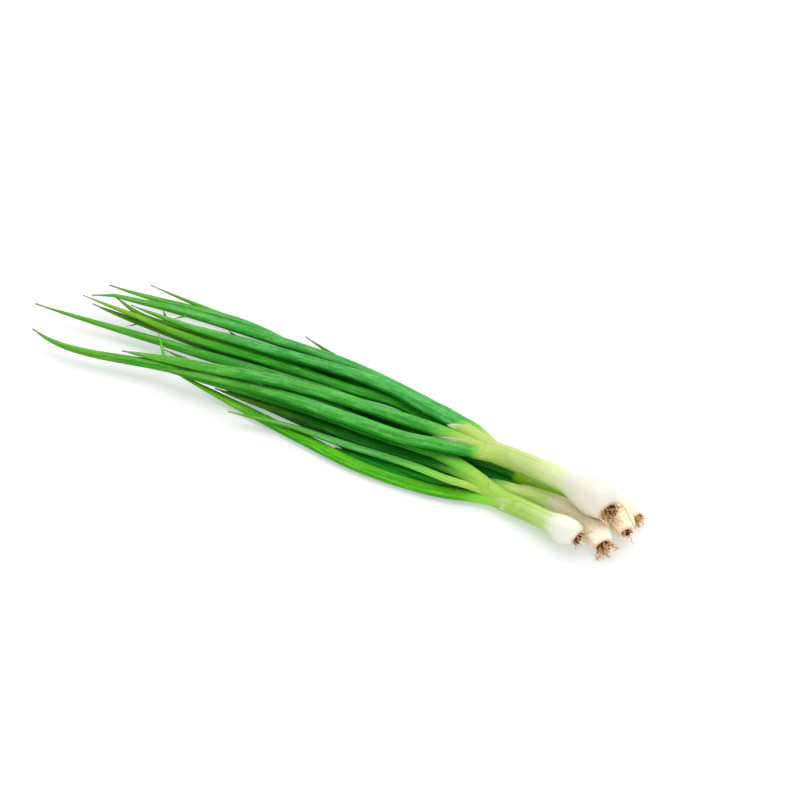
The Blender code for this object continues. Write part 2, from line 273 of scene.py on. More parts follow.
def smooth_course(points: Sequence[Any], spacing: float) -> tuple[np.ndarray, np.ndarray]:
    """A smooth curve through the given points.

    Args:
        points: Points to pass through.
        spacing: Length between two points of the result.

    Returns:
        The curve's points, and the length to each.
    """
    given = np.array(points, float)
    knots = np.r_[0, np.cumsum(np.linalg.norm(np.diff(given, axis=0), axis=1))]
    length = np.linspace(0, knots[-1], int(knots[-1] / spacing) + 2)
    return on_curve(given, knots, length), length


def stem_radius(plant: Plant, length: np.ndarray) -> np.ndarray:
    """Radius of a bulb and stem at each length from the root plate.

    Args:
        plant: The plant.
        length: Lengths, ending at the fork.

    Returns:
        The radii.
    """
    widest = WIDEST_AT * plant.bulb
    rise = np.clip(1 - length / widest, 0, 1)
    plate = PLATE_SHARE * plant.bulb / 2
    round_end = plate + (plant.bulb / 2 - plate) * np.sqrt(1 - rise**2)
    neck = ease((length - widest) / (NECK_END * plant.bulb - widest))
    stem = plant.bulb / 2 + (plant.stem - plant.bulb) / 2 * neck
    fork = 1 - FORK_TAPER * ease((length - length[-1]) / FORK_LENGTH + 1)
    return np.where(length < widest, round_end, stem * fork)


def leaf_radius(width: float, length: np.ndarray, tip: float = TIP_WIDTH,
                powers: tuple[float, float] = TAPER_POWERS) -> np.ndarray:
    """Half the width of a leaf at each length: wider after the stem, then a long taper.

    Args:
        width: The leaf's full width.
        length: Lengths from the leaf's start inside its stem.
        tip: Width at the tip.
        powers: How late, and how bluntly, the leaf tapers.

    Returns:
        The half widths.
    """
    grown = BASE_SHARE + (1 - BASE_SHARE) * ease(length / WIDEN_LENGTH)
    share = np.clip(length / length[-1], TAPER_START, 1) - TAPER_START
    late, blunt = powers
    taper = (1 - (share / (1 - TAPER_START)) ** late) ** blunt
    return np.maximum(width / 2 * grown * taper, tip / 2)


class Strand:
    """A stem or a leaf while the bunch is laid: its course, half sizes and heights."""

    def __init__(self, plant: str, points: Sequence[Any], radius: Any, flatness: float,
                 tip_height: float = 0.0, stem: Union["Strand", None] = None) -> None:
        """Sets out the course.

        Args:
            plant: Name of the plant it belongs to.
            points: Plan points.
            radius: Function from lengths to half widths.
            flatness: Height over width.
            tip_height: Least height of the tip.
            stem: The stem that it starts in, for a leaf.
        """
        self.plant = plant
        self.course, self.length = smooth_course(points, STATION)
        self.half_width = radius(self.length)
        self.half_height = self.half_width * flatness
        self.tip_height = tip_height
        self.stem = stem
        self.height = np.zeros(len(self.length))
        self.start_on_stem = 0.0

    def lowest(self, laid: Sequence["Strand"]) -> np.ndarray:
        """The least height of each station.

        Args:
            laid: The strands laid before.

        Returns:
            Heights over the surface and those strands.
        """
        ground = FLOOR_CLEAR if self.stem else -FLAT
        least = self.half_height + ground
        for other in laid:
            start = other.course[:-1]
            along = np.diff(other.course, axis=0)
            to_point = self.course[:, None] - start[None]
            t = np.clip((to_point * along).sum(-1) / (along**2).sum(-1), 0, 1)
            distance = np.linalg.norm(to_point - t[..., None] * along, axis=-1)
            height, width, depth = (
                values[:-1] + t * np.diff(values)
                for values in (other.height, other.half_width, other.half_height)
            )
            reach = self.half_width[:, None] + width + CLEAR
            over = (self.half_height[:, None] + depth + CLEAR) * np.sqrt(
                np.clip(1 - (distance / reach) ** 2, 0, None)
            )
            need = np.where(distance < reach, height + over, 0).max(axis=1)
            if other.plant == self.plant:
                need[self.length < SIBLING_FREE] = 0
            least = np.maximum(least, need)
        return least

    def settle(self, laid: Sequence["Strand"]) -> None:
        """Lets the strand down onto what lies below it, as a stiff thread would hang.

        Args:
            laid: The strands laid before.
        """
        least = self.lowest(laid)
        height = least.copy()
        if self.stem:
            nearest = np.linalg.norm(self.stem.course - self.course[0], axis=1).argmin()
            height[0] = self.stem.height[nearest]
            height[-1] = max(self.tip_height, least[-1])
        for _ in range(SETTLE_ROUNDS):
            height[1:-1] = np.maximum(least[1:-1], (height[:-2] + height[2:]) / 2 - SAG)
            if not self.stem:
                height[0] = max(least[0], height[1] - END_DROOP)
        for _ in range(SMOOTH_ROUNDS):
            height[1:-1] = np.maximum(least, np.convolve(height, (0.25, 0.5, 0.25), "same"))[1:-1]
        self.height = height

    def places(self, length: np.ndarray) -> np.ndarray:
        """Its centre line in the bunch's own frame, carried on straight past its end.

        Args:
            length: Lengths along the strand.

        Returns:
            Points in millimetres.
        """
        places = np.column_stack([self.course - MIDDLE, self.height])
        within = np.clip(length, 0, self.length[-1])
        slope = np.gradient(places, self.length, axis=0)[-1]
        past = (length - within)[:, None] * slope
        return on_curve(places, self.length, within) + past


class Bunch:
    """The five plants, laid one on another from the surface up."""

    def __init__(self) -> None:
        """Lays the lower stems and leaves, and then the plant on top."""
        self.stems: dict[str, Strand] = {}
        self.leaves: dict[str, Strand] = {}
        self.plans: dict[str, LeafPlan] = {}
        for name in ("e", "d", "c", "b"):
            self.lay_stem(name)
        for plan in LOWER_LEAVES:
            self.lay_leaf(plan)
        self.lay_stem("a")
        for plan in UPPER_LEAVES:
            self.lay_leaf(plan)

    def lay_stem(self, name: str) -> None:
        """Lays a bulb and stem.

        Args:
            name: The plant's name.
        """
        plant = PLANTS[name]
        stem = Strand(name, plant.course, lambda length: stem_radius(plant, length), 1.0)
        stem.settle([*self.stems.values(), *self.leaves.values()])
        self.stems[name] = stem

    def lay_leaf(self, plan: LeafPlan) -> None:
        """Lays a leaf, from inside its stem to its tip.

        Args:
            plan: The leaf's plan.
        """
        stem = self.stems[plan.plant]
        inside = np.searchsorted(stem.length, stem.length[-1] - INSIDE_STEM)
        leaf = Strand(plan.plant, (stem.course[inside], *plan.course),
                      lambda length: leaf_radius(plan.width, length), LEAF_FLATNESS,
                      plan.tip_height, stem)
        leaf.start_on_stem = stem.length[inside]
        leaf.settle([*self.stems.values(), *self.leaves.values()])
        self.leaves[plan.name] = leaf
        self.plans[plan.name] = plan


class Value:
    """A node's output, which can be used in sums."""

    def __init__(self, graph: "Graph", socket: bpy.types.NodeSocket) -> None:
        """Keeps the socket and the graph that its sums go to."""
        self.graph = graph
        self.socket = socket

    def __add__(self, other: "Number") -> "Value":
        """Sum."""
        return self.graph.math("ADD", self, other)

    __radd__ = __add__

    def __sub__(self, other: "Number") -> "Value":
        """Difference."""
        return self.graph.math("SUBTRACT", self, other)

    def __rsub__(self, other: "Number") -> "Value":
        """Difference from a number."""
        return self.graph.math("SUBTRACT", other, self)

    def __mul__(self, other: "Number") -> "Value":
        """Product."""
        return self.graph.math("MULTIPLY", self, other)

    __rmul__ = __mul__

    def __truediv__(self, other: "Number") -> "Value":
        """Quotient."""
        return self.graph.math("DIVIDE", self, other)

    def __rtruediv__(self, other: "Number") -> "Value":
        """Quotient of a number."""
        return self.graph.math("DIVIDE", other, self)

    def __pow__(self, other: "Number") -> "Value":
        """Power."""
        return self.graph.math("POWER", self, other)

    def __rpow__(self, other: "Number") -> "Value":
        """Power of a number."""
        return self.graph.math("POWER", other, self)


Number = Union[Value, float, int]


class Graph:
    """A node tree, written as expressions."""

    def __init__(self, tree: bpy.types.NodeTree) -> None:
        """Starts with an empty tree.

        Args:
            tree: A shader's or a modifier's tree.
        """
        self.tree = tree
        tree.nodes.clear()

    def node(self, kind: str, settings: Options = None, inputs: Options = None) -> bpy.types.Node:
        """Adds a node.

        Args:
            kind: The node's type.
            settings: Properties, set first.
            inputs: Values or links, by the socket's name or number.

        Returns:
            The node.
        """
        made = self.tree.nodes.new(kind)
        for key, setting in (settings or {}).items():
            setattr(made, key, setting)
        for key, value in (inputs or {}).items():
            if isinstance(value, Value):
                self.tree.links.new(value.socket, made.inputs[key])
            else:
                made.inputs[key].default_value = value
        return made

    def outputs(self, node: bpy.types.Node, *names: Any) -> tuple[Value, ...]:
        """Some of a node's outputs, by name or number."""
        return tuple(Value(self, node.outputs[name]) for name in names)

    def value(self, kind: str, settings: Options = None, inputs: Options = None,
              output: Any = 0) -> Value:
        """Adds a node and gives one of its outputs.

        Args:
            kind: The node's type.
            settings: Properties, set first.
            inputs: Values or links, by the socket's name or number.
            output: Name or number of the output.

        Returns:
            The output.
        """
        return Value(self, self.node(kind, settings, inputs).outputs[output])

    def math(self, operation: str, *terms: Number) -> Value:
        """A Math node."""
        return self.value("ShaderNodeMath", {"operation": operation}, dict(enumerate(terms)))

    def vector(self, operation: str, *terms: Any) -> Value:
        """A Vector Math node."""
        return self.value("ShaderNodeVectorMath", {"operation": operation}, dict(enumerate(terms)))

    def scaled(self, vector: Value, factor: Number) -> Value:
        """A vector times a number."""
        return self.value("ShaderNodeVectorMath", {"operation": "SCALE"},
                          {0: vector, "Scale": factor})

    def parts(self, vector: Value) -> tuple[Value, ...]:
        """The X, Y and Z of a vector."""
        return self.outputs(self.node("ShaderNodeSeparateXYZ", None, {0: vector}), 0, 1, 2)

    def combined(self, x: Number = 0.0, y: Number = 0.0, z: Number = 0.0) -> Value:
        """A vector from its X, Y and Z."""
        return self.value("ShaderNodeCombineXYZ", None, {0: x, 1: y, 2: z})

    def blend(self, factor: Number, first: Any, second: Any) -> Value:
        """Mixes two colours.

        Args:
            factor: Share of the second.
            first: A colour or a link.
            second: A colour or a link.

        Returns:
            The mixed colour.
        """
        def as_input(colour: Any) -> Any:
            """A colour with its alpha, or a link as it is."""
            return colour if isinstance(colour, Value) else (*colour, 1.0)

        return self.value("ShaderNodeMix", {"data_type": "RGBA"},
                          {0: factor, 6: as_input(first), 7: as_input(second)}, 2)

    def smoothstep(self, value: Number, start: Number, end: Number, low: Number = 0.0,
                   high: Number = 1.0) -> Value:
        """A Map Range node with level ends.

        Args:
            value: The value that it follows.
            start: Where the step starts.
            end: Where the step ends.
            low: The result up to the start.
            high: The result from the end.

        Returns:
            The step.
        """
        return self.value(
            "ShaderNodeMapRange", {"interpolation_type": "SMOOTHSTEP"},
            {"Value": value, "From Min": start, "From Max": end, "To Min": low, "To Max": high},
        )

    def noise(self, vector: Value, scale: float, detail: float, seed: Number,
              roughness: float = 0.5, output: str = "Fac") -> Value:
        """A four-dimensional noise.

        Args:
            vector: The place.
            scale: How fine it is.
            detail: Octaves.
            seed: The draw, as the noise's fourth place.
            roughness: Share of each finer octave.
            output: "Fac" or "Color".

        Returns:
            The noise.
        """
        return self.value("ShaderNodeTexNoise", {"noise_dimensions": "4D"},
                          {"Vector": vector, "W": seed, "Scale": scale, "Detail": detail,
                           "Roughness": roughness}, output)


@dataclass(frozen=True)
class Streaks:
    """Noise drawn out along a strand: how fine it is round and along it, and its draw."""

    around: float
    along: float
    seed: float
    detail: float
    roughness: float = 0.5


@dataclass(frozen=True)
class Surface:
    """What is the same all over a finish.

    Relief is the height of its grain in metres, and strength that of the Bump node. Soft is the
    share of light that goes in, depth how far in metres, and spread how far each colour goes.
    """

    gloss: float
    relief: float
    strength: float
    soft: float = 0.0
    spread: Colour = (1.0, 0.9, 0.55)
    depth: float = 0.003


class ShaderGraph(Graph):
    """A material's tree with a Principled BSDF."""

    def __init__(self, name: str) -> None:
        """Makes the material.

        Args:
            name: The material's name.
        """
        self.material = bpy.data.materials.new(name)
        self.material.use_nodes = True
        super().__init__(self.material.node_tree)

    def attribute(self, name: str) -> Value:
        """A number that the piece keeps."""
        return self.value("ShaderNodeAttribute", {"attribute_name": name}, None, "Fac")

    def skin(self) -> tuple[Value, ...]:
        """The place on a strand: two parts round it and one along it."""
        return self.parts(
            self.value("ShaderNodeAttribute", {"attribute_name": "skin"}, None, "Vector")
        )

    def place(self) -> Value:
        """The place in the piece's own space."""
        return self.value("ShaderNodeTexCoord", None, None, "Object")

    def streaks(self, skin: Sequence[Value], kind: Streaks) -> Value:
        """Noise that is drawn out along a strand.

        Args:
            skin: The place on the strand.
            kind: The noise's sizes and draw.

        Returns:
            The noise.
        """
        side, upper, length = skin
        spot = self.combined(side * kind.around, upper * kind.around, length * kind.along)
        return self.noise(spot, 1.0, kind.detail, kind.seed, kind.roughness)

    def end(self, inputs: dict[str, Any]) -> bpy.types.Material:
        """Ends the tree in a Principled BSDF.

        Args:
            inputs: The shader's values and links.

        Returns:
            The material.
        """
        shader = self.value("ShaderNodeBsdfPrincipled", None, inputs)
        self.node("ShaderNodeOutputMaterial", None, {"Surface": shader})
        return self.material

    def finish(self, colour: Value, rough: Value, height: Value,
               surface: Surface) -> bpy.types.Material:
        """Ends the tree of a piece's finish.

        Args:
            colour: Its colour.
            rough: Its roughness.
            height: The height of its grain.
            surface: What is the same all over it.

        Returns:
            The material.
        """
        bump = self.value("ShaderNodeBump", None, {
            "Strength": surface.strength, "Distance": surface.relief, "Height": height,
        }, "Normal")
        return self.end({
            "Base Color": colour, "Roughness": rough, "Normal": bump,
            "Specular IOR Level": surface.gloss, "Subsurface Weight": surface.soft,
            "Subsurface Radius": surface.spread, "Subsurface Scale": surface.depth,
        })


class GeometryGraph(Graph):
    """A Geometry Nodes tree with named inputs."""

    def __init__(self, name: str, inputs: dict[Kind, Sequence[str]]) -> None:
        """Makes the tree and its inputs, with the finish as the last.

        Args:
            name: The tree's name.
            inputs: Names of the inputs of each kind, besides the geometry and the finish.
        """
        group = bpy.data.node_groups.new(name, "GeometryNodeTree")
        for way in ("INPUT", "OUTPUT"):
            group.interface.new_socket("Geometry", in_out=way, socket_type="NodeSocketGeometry")
        self.identifiers: dict[str, str] = {}
        for kind, labels in (*inputs.items(), (Kind.FINISH, ("Finish",))):
            for label in labels:
                made = group.interface.new_socket(label, in_out="INPUT", socket_type=kind.value)
                self.identifiers[label] = made.identifier
        super().__init__(group)
        self.given = self.node("NodeGroupInput")

    def input(self, name: str) -> Value:
        """One of the tree's inputs."""
        return Value(self, self.given.outputs[name])

    def position(self) -> Value:
        """The place of each point."""
        return self.value("GeometryNodeInputPosition")

    def kept(self, name: str, kind: str = "FLOAT") -> Value:
        """A named attribute of the points."""
        return self.value("GeometryNodeInputNamedAttribute", {"data_type": kind}, {"Name": name})

    def move(self, geometry: Value, inputs: dict[str, Value]) -> Value:
        """Sets or shifts the points."""
        return self.value("GeometryNodeSetPosition", None, {0: geometry, **inputs})

    def above_floor(self, spot: Value, least: Number = 0.0) -> Value:
        """A place, lifted where it is lower than the least height."""
        x, y, z = self.parts(spot)
        return self.combined(x, y, self.math("MAXIMUM", z, least))

    def store(self, geometry: Value, marks: dict[str, Number]) -> Value:
        """Stores named attributes on the points.

        Args:
            geometry: The geometry.
            marks: The attributes' values. Skin and heading are vectors.

        Returns:
            The marked geometry.
        """
        for name, mark in marks.items():
            kind = "FLOAT_VECTOR" if name in ("skin", "heading") else "FLOAT"
            geometry = self.value("GeometryNodeStoreNamedAttribute",
                                  {"data_type": kind, "domain": "POINT"},
                                  {"Geometry": geometry, "Name": name, "Value": mark})
        return geometry

    def tube(self) -> Value:
        """A plain tube with the tree's sides and rings, of radius 1 and length 1."""
        return self.value("GeometryNodeMeshCylinder", {"fill_type": "TRIANGLE_FAN"},
                          {"Vertices": self.input("Sides"), "Side Segments": self.input("Rings"),
                           "Radius": 1.0, "Depth": 1.0})

    def along_line(self, share: Value) -> tuple[Value, ...]:
        """Samples the line that the tree is given.

        Args:
            share: Share of the line's length.

        Returns:
            Half width and place there, and the directions sideways and upward.
        """
        line = self.value("GeometryNodeMeshToCurve", None, {0: self.input("Geometry")})
        level = self.value("GeometryNodeSetCurveNormal", {"mode": "Z_UP"}, {0: line})
        there = self.node("GeometryNodeSampleCurve", {"data_type": "FLOAT", "mode": "FACTOR"},
                          {"Curves": level, "Value": self.kept("half_width"), "Factor": share})
        width, place, tangent, normal = self.outputs(there, "Value", "Position", "Tangent",
                                                     "Normal")
        return (width, place, self.scaled(normal, -1.0),
                self.vector("CROSS_PRODUCT", normal, tangent))

    def end_tube(self, tube: Value, marks: dict[str, Number], place: Value,
                 *steps: tuple[Value, Value]) -> None:
        """Ends a tree that bends a tube along a line.

        Args:
            tube: The plain tube.
            marks: Attributes that its points keep.
            place: The point of the line for each of its points.
            steps: Directions to go from there, and how far.
        """
        for direction, far in steps:
            place = self.vector("ADD", place, self.scaled(direction, far))
        self.end(self.move(self.store(tube, marks), {"Position": self.above_floor(place)}))

    def end(self, geometry: Value) -> None:
        """Ends the tree: real geometry, smooth, with its finish.

        Args:
            geometry: The geometry.
        """
        real = self.value("GeometryNodeRealizeInstances", None, {0: geometry})
        smooth = self.value("GeometryNodeSetShadeSmooth", None, {0: real})
        dressed = self.value("GeometryNodeSetMaterial", None,
                             {0: smooth, "Material": self.input("Finish")})
        self.node("NodeGroupOutput", None, {0: dressed})

    def run(self, name: str, source: bpy.types.Mesh, values: dict[str, Any]) -> bpy.types.Object:
        """Makes a plain mesh object with the tree.

        Args:
            name: The object's name.
            source: The mesh that the tree starts from.
            values: The inputs, by name.

        Returns:
            The object, with no modifier.
        """
        host = bpy.data.objects.new(f"{name}_source", source)
        bpy.context.scene.collection.objects.link(host)
        modifier = host.modifiers.new("shape", "NODES")
        modifier.node_group = self.tree
        for label, value in values.items():
            modifier[self.identifiers[label]] = value
        host.update_tag()
        graph = bpy.context.evaluated_depsgraph_get()
        mesh = bpy.data.meshes.new_from_object(host.evaluated_get(graph))
        mesh.name = name
        bpy.data.objects.remove(host)
        piece = bpy.data.objects.new(name, mesh)
        bpy.context.scene.collection.objects.link(piece)
        return piece


GROOVE_SHARPNESS = -16.0  # exponent of the fold along a leaf's upper side
TWIST_START = 0.6  # share of a leaf's length at which its tip starts to turn


def sweep_tree() -> GeometryGraph:
    """The tree that makes a tube along a strand, for stems, sheaths and leaves.

    It starts from a polyline with a half_width attribute. The tube's points keep their place
    round and along the tube in the attributes skin and share, and how far they are along the
    green blade in the attribute blade.

    Returns:
        The tree.
    """
    tree = GeometryGraph("strand_tube", {
        Kind.COUNT: ("Sides", "Rings"),
        Kind.SIZE: ("Length", "First Length", "Base Flatness", "Blade Flatness", "Blade Start",
                    "Blade Full", "Edge", "Groove", "Ridges", "Ridge Depth", "Ripple",
                    "Ripple Scale", "Seed", "Slant", "Slant Turn", "Tip Twist", "Green Start",
                    "Green Full"),
    })
    given = tree.input
    tube = tree.tube()
    x, y, z = tree.parts(tree.position())
    angle = tree.math("ARCTAN2", y, x)
    cut = tree.math("COSINE", angle - given("Slant Turn")) * 0.5 + 0.5
    share = (z + 0.5) * (1 - cut * given("Slant"))
    length = share * given("Length") + given("First Length")
    width, place, sideways, upward = tree.along_line(share)

    blade = tree.smoothstep(length, given("Blade Start"), given("Blade Full"))
    flatness = tree.smoothstep(length, given("Blade Start"), given("Blade Full"),
                               given("Base Flatness"), given("Blade Flatness"))
    round_y = tree.math("ABSOLUTE", y) ** (1 + given("Edge") * blade)
    tall = round_y * tree.math("SIGN", y) * flatness
    hollow = tree.math("EXPONENT", x * x * GROOVE_SHARPNESS) * tree.math("MAXIMUM", y, 0.0) * blade
    tall = tall - hollow * given("Groove")
    ridge = tree.math("COSINE", angle * given("Ridges") + given("Seed"))
    around = tree.combined(x, y, length * given("Ripple Scale"))
    ripple = (tree.noise(around, 1.0, 1.0, given("Seed")) - 0.5) * given("Ripple")
    width = width * (1 + ripple + ridge * given("Ridge Depth"))
    twist = tree.smoothstep(share, TWIST_START, 1.0) * given("Tip Twist")
    cosine, sine = tree.math("COSINE", twist), tree.math("SINE", twist)
    wide, tall = x * cosine - tall * sine, x * sine + tall * cosine

    green = tree.smoothstep(length, given("Green Start"), given("Green Full"))
    marks = {"skin": tree.combined(x, y, length), "share": share, "blade": green}
    tree.end_tube(tube, marks, place, (sideways, wide * width), (upward, tall * width))
    return tree


TEARS = (2.2, 0.4)  # how fine a papery patch's torn ends are, across it and along it
FRAYS = 3.0  # how fine its torn sides are
FOLDS = 3.0  # how fine its folds are
ROUND_ENDS = 0.25  # how much shorter it is at its sides
SIDE_DRAW, FOLD_DRAW = 5, 9
EDGE_LIFT, FOLD_LIFT = 0.35, 0.5


def skin_tree() -> GeometryGraph:
    """The tree that makes a thin, ragged patch of papery skin on a strand.

    A tube's section is folded into a thin crescent that hugs the strand's surface.

    Returns:
        The tree.
    """
    tree = GeometryGraph("papery_skin", {
        Kind.COUNT: ("Sides", "Rings"),
        Kind.SIZE: ("Thickness", "Arc", "Turn", "Lift", "Ragged", "Seed"),
    })
    given = tree.input
    tube = tree.tube()
    x, y, z = tree.parts(tree.position())
    angle = tree.math("ARCTAN2", y, x)
    rim = tree.math("SQRT", x * x + y * y)
    across = (1 - tree.math("ABSOLUTE", angle) * (2 / math.pi)) * rim
    edge = tree.combined(across * TEARS[0], z * TEARS[1])
    torn = (tree.noise(edge, 1.0, 3.0, given("Seed"), 0.6) - 0.5) * given("Ragged")
    share = z * (1 + torn - across * across * ROUND_ENDS) + 0.5
    side = tree.combined(z * FRAYS, tree.math("SIGN", across))
    frayed = tree.noise(side, 1.0, 3.0, given("Seed") + SIDE_DRAW, 0.6) - 0.5
    frayed = frayed * given("Ragged")
    turn = given("Turn") + across * (1 + frayed) * given("Arc") * 0.5
    width, place, sideways, upward = tree.along_line(share)

    crumple = tree.combined(across * FOLDS, z * FOLDS)
    wave = tree.noise(crumple, 1.0, 2.0, given("Seed") + FOLD_DRAW)
    far = across * across + z * z * 3.0
    lift = given("Lift") * (far * far * EDGE_LIFT + wave * FOLD_LIFT)
    outer = tree.math("MAXIMUM", tree.math("SIGN", y), 0.0) * given("Thickness")
    radius = width + lift + outer
    marks = {"skin": tree.combined(across, z, wave), "share": tree.math("ABSOLUTE", z) * 2}
    tree.end_tube(tube, marks, place, (sideways, tree.math("COSINE", turn) * radius),
                  (upward, tree.math("SINE", turn) * radius))
    return tree


SHORT_ROOT = 0.38  # length of the mat's roots over that of the long ones
LEAST_GROWTH = 0.7  # length of the shortest of either kind over its longest
GROWTH_DRAW = 3
ROOT_POINTS = 12
ROOT_SIDES = 6
WANDER = (7.31, 3.4)  # how fine the roots' curls are, from root to root and along a root
TIP_THINNING = 0.5
PLATE_SEGMENTS = 24
PLATE_DEPTH = 0.35  # a root plate's depth over its radius


def root_tree() -> GeometryGraph:
    """The tree that makes a root plate with a mat of short roots and a few long ones.

    The roots keep their share of length in the attribute reach and how pale they are in the
    attribute tone.

    Returns:
        The tree.
    """
    tree = GeometryGraph("root_tuft", {
        Kind.COUNT: ("Roots", "Seed"),
        Kind.SIZE: ("Plate Radius", "Root Length", "Thickness", "Spread", "Curl", "Droop",
                    "Long Share", "Plate Tone"),
        Kind.VECTOR: ("Place", "Facing"),
    })
    given = tree.input

    def draw(least: float, seed: Value) -> Value:
        """A number for each point, from the least to 1."""
        return tree.value("FunctionNodeRandomValue", {"data_type": "FLOAT"},
                          {2: least, 3: 1.0, "Seed": seed}, 1)

    def put(geometry: Value, scale: Spot) -> Value:
        """Puts geometry at the root plate, facing out of the bulb."""
        return tree.value("GeometryNodeTransform", None,
                          {"Geometry": geometry, "Translation": given("Place"),
                           "Rotation": given("Facing"), "Scale": scale})

    disc = tree.value("GeometryNodeMeshCircle", {"fill_type": "NGON"},
                      {"Vertices": 16, "Radius": 1.0})
    spots = tree.value("GeometryNodeDistributePointsOnFaces", {"distribute_method": "RANDOM"},
                       {"Mesh": disc, "Density": given("Roots") / math.pi, "Seed": given("Seed")})
    x, y, _ = tree.parts(tree.position())
    tone = draw(0.0, given("Seed"))
    long_one = tree.math("GREATER_THAN", tone, 1 - given("Long Share"))
    vary = draw(LEAST_GROWTH, given("Seed") + GROWTH_DRAW)
    spots = tree.store(spots, {
        "tone": tone,
        "growth": given("Root Length") * vary * (long_one * (1 - SHORT_ROOT) + SHORT_ROOT),
        "heading": tree.combined(x * given("Spread"), y * given("Spread"), 1.0),
    })
    spots = tree.move(spots, {
        "Position": tree.combined(x * given("Plate Radius"), y * given("Plate Radius"), 0.0),
    })
    line = tree.value("GeometryNodeCurvePrimitiveLine", None, {"End": (0.0, 0.0, 1.0)})
    line = tree.value("GeometryNodeResampleCurve", None, {"Curve": line, "Count": ROOT_POINTS})
    growth = tree.kept("growth")
    aim = tree.value("FunctionNodeAlignRotationToVector", {"axis": "Z"},
                     {"Vector": tree.kept("heading", "FLOAT_VECTOR")})
    roots = tree.value("GeometryNodeInstanceOnPoints", None,
                       {"Points": spots, "Instance": line, "Rotation": aim, "Scale": growth})
    roots = put(tree.value("GeometryNodeRealizeInstances", None, {0: roots}), (1.0, 1.0, 1.0))
    reach = tree.value("GeometryNodeSplineParameter")
    which = tree.value("GeometryNodeCurveOfPoint", None, None, "Curve Index")
    wander = tree.combined(which * WANDER[0], reach * WANDER[1])
    stray = tree.noise(wander, 1.0, 1.0, given("Seed"), output="Color")
    swerve = tree.vector("SUBTRACT", stray, (0.5, 0.5, 0.5))
    swerve = tree.scaled(swerve, reach * growth * given("Curl"))
    sink = tree.combined(z=reach * reach * growth * given("Droop") * -1)
    roots = tree.move(roots, {"Offset": tree.vector("ADD", swerve, sink)})
    roots = tree.move(roots, {"Position": tree.above_floor(tree.position(), given("Thickness"))})
    thick = given("Thickness") * (1 - reach * TIP_THINNING) * (1.1 - tree.kept("tone") * 0.5)
    ring = tree.value("GeometryNodeCurvePrimitiveCircle", {"mode": "RADIUS"},
                      {"Resolution": ROOT_SIDES, "Radius": 1.0})
    tuft = tree.value("GeometryNodeCurveToMesh", None,
                      {"Curve": tree.store(roots, {"reach": reach}), "Profile Curve": ring,
                       "Fill Caps": True, "Scale": thick})
    dome = tree.value("GeometryNodeMeshUVSphere", None,
                      {"Segments": PLATE_SEGMENTS, "Rings": PLATE_SEGMENTS // 2,
                       "Radius": given("Plate Radius")})
    dome = tree.store(put(dome, (1.0, 1.0, PLATE_DEPTH)),
                      {"tone": given("Plate Tone"), "reach": 0.0})
    both = tree.node("GeometryNodeJoinGeometry")
    for part in (tuft, dome):
        tree.tree.links.new(part.socket, both.inputs[0])
    tree.end(Value(tree, both.outputs[0]))
    return tree


LEAF_STREAKS = (
    Streaks(11.0, 20.0, 1.0, 3.0, 0.6),
    Streaks(2.4, 9.0, 2.0, 2.0),
    Streaks(1.6, 60.0, 3.0, 3.0, 0.6),
)
STEM_STREAKS = (
    Streaks(8.0, 9.0, 5.0, 4.0, 0.62),
    Streaks(2.4, 7.0, 6.0, 2.0),
    Streaks(1.3, 60.0, 7.0, 3.0),
)
RIM_VEINS = Streaks(9.0, 14.0, 8.0, 3.0, 0.6)
SPECKLE_SCALE = 330.0
LEAF_SURFACE = Surface(0.1, 0.0008, 0.6, 0.08, (0.3, 0.8, 0.15))
STEM_SURFACE = Surface(0.3, 0.0006, 0.45, 0.25, depth=0.004)
RIM_SURFACE = Surface(0.3, 0.0005, 0.5, 0.2)
PAPER_SURFACE = Surface(0.35, 0.0005, 0.6, 0.15, (1.0, 0.7, 0.4), 0.002)
ROOT_SURFACE = Surface(0.3, 0.0003, 0.6)


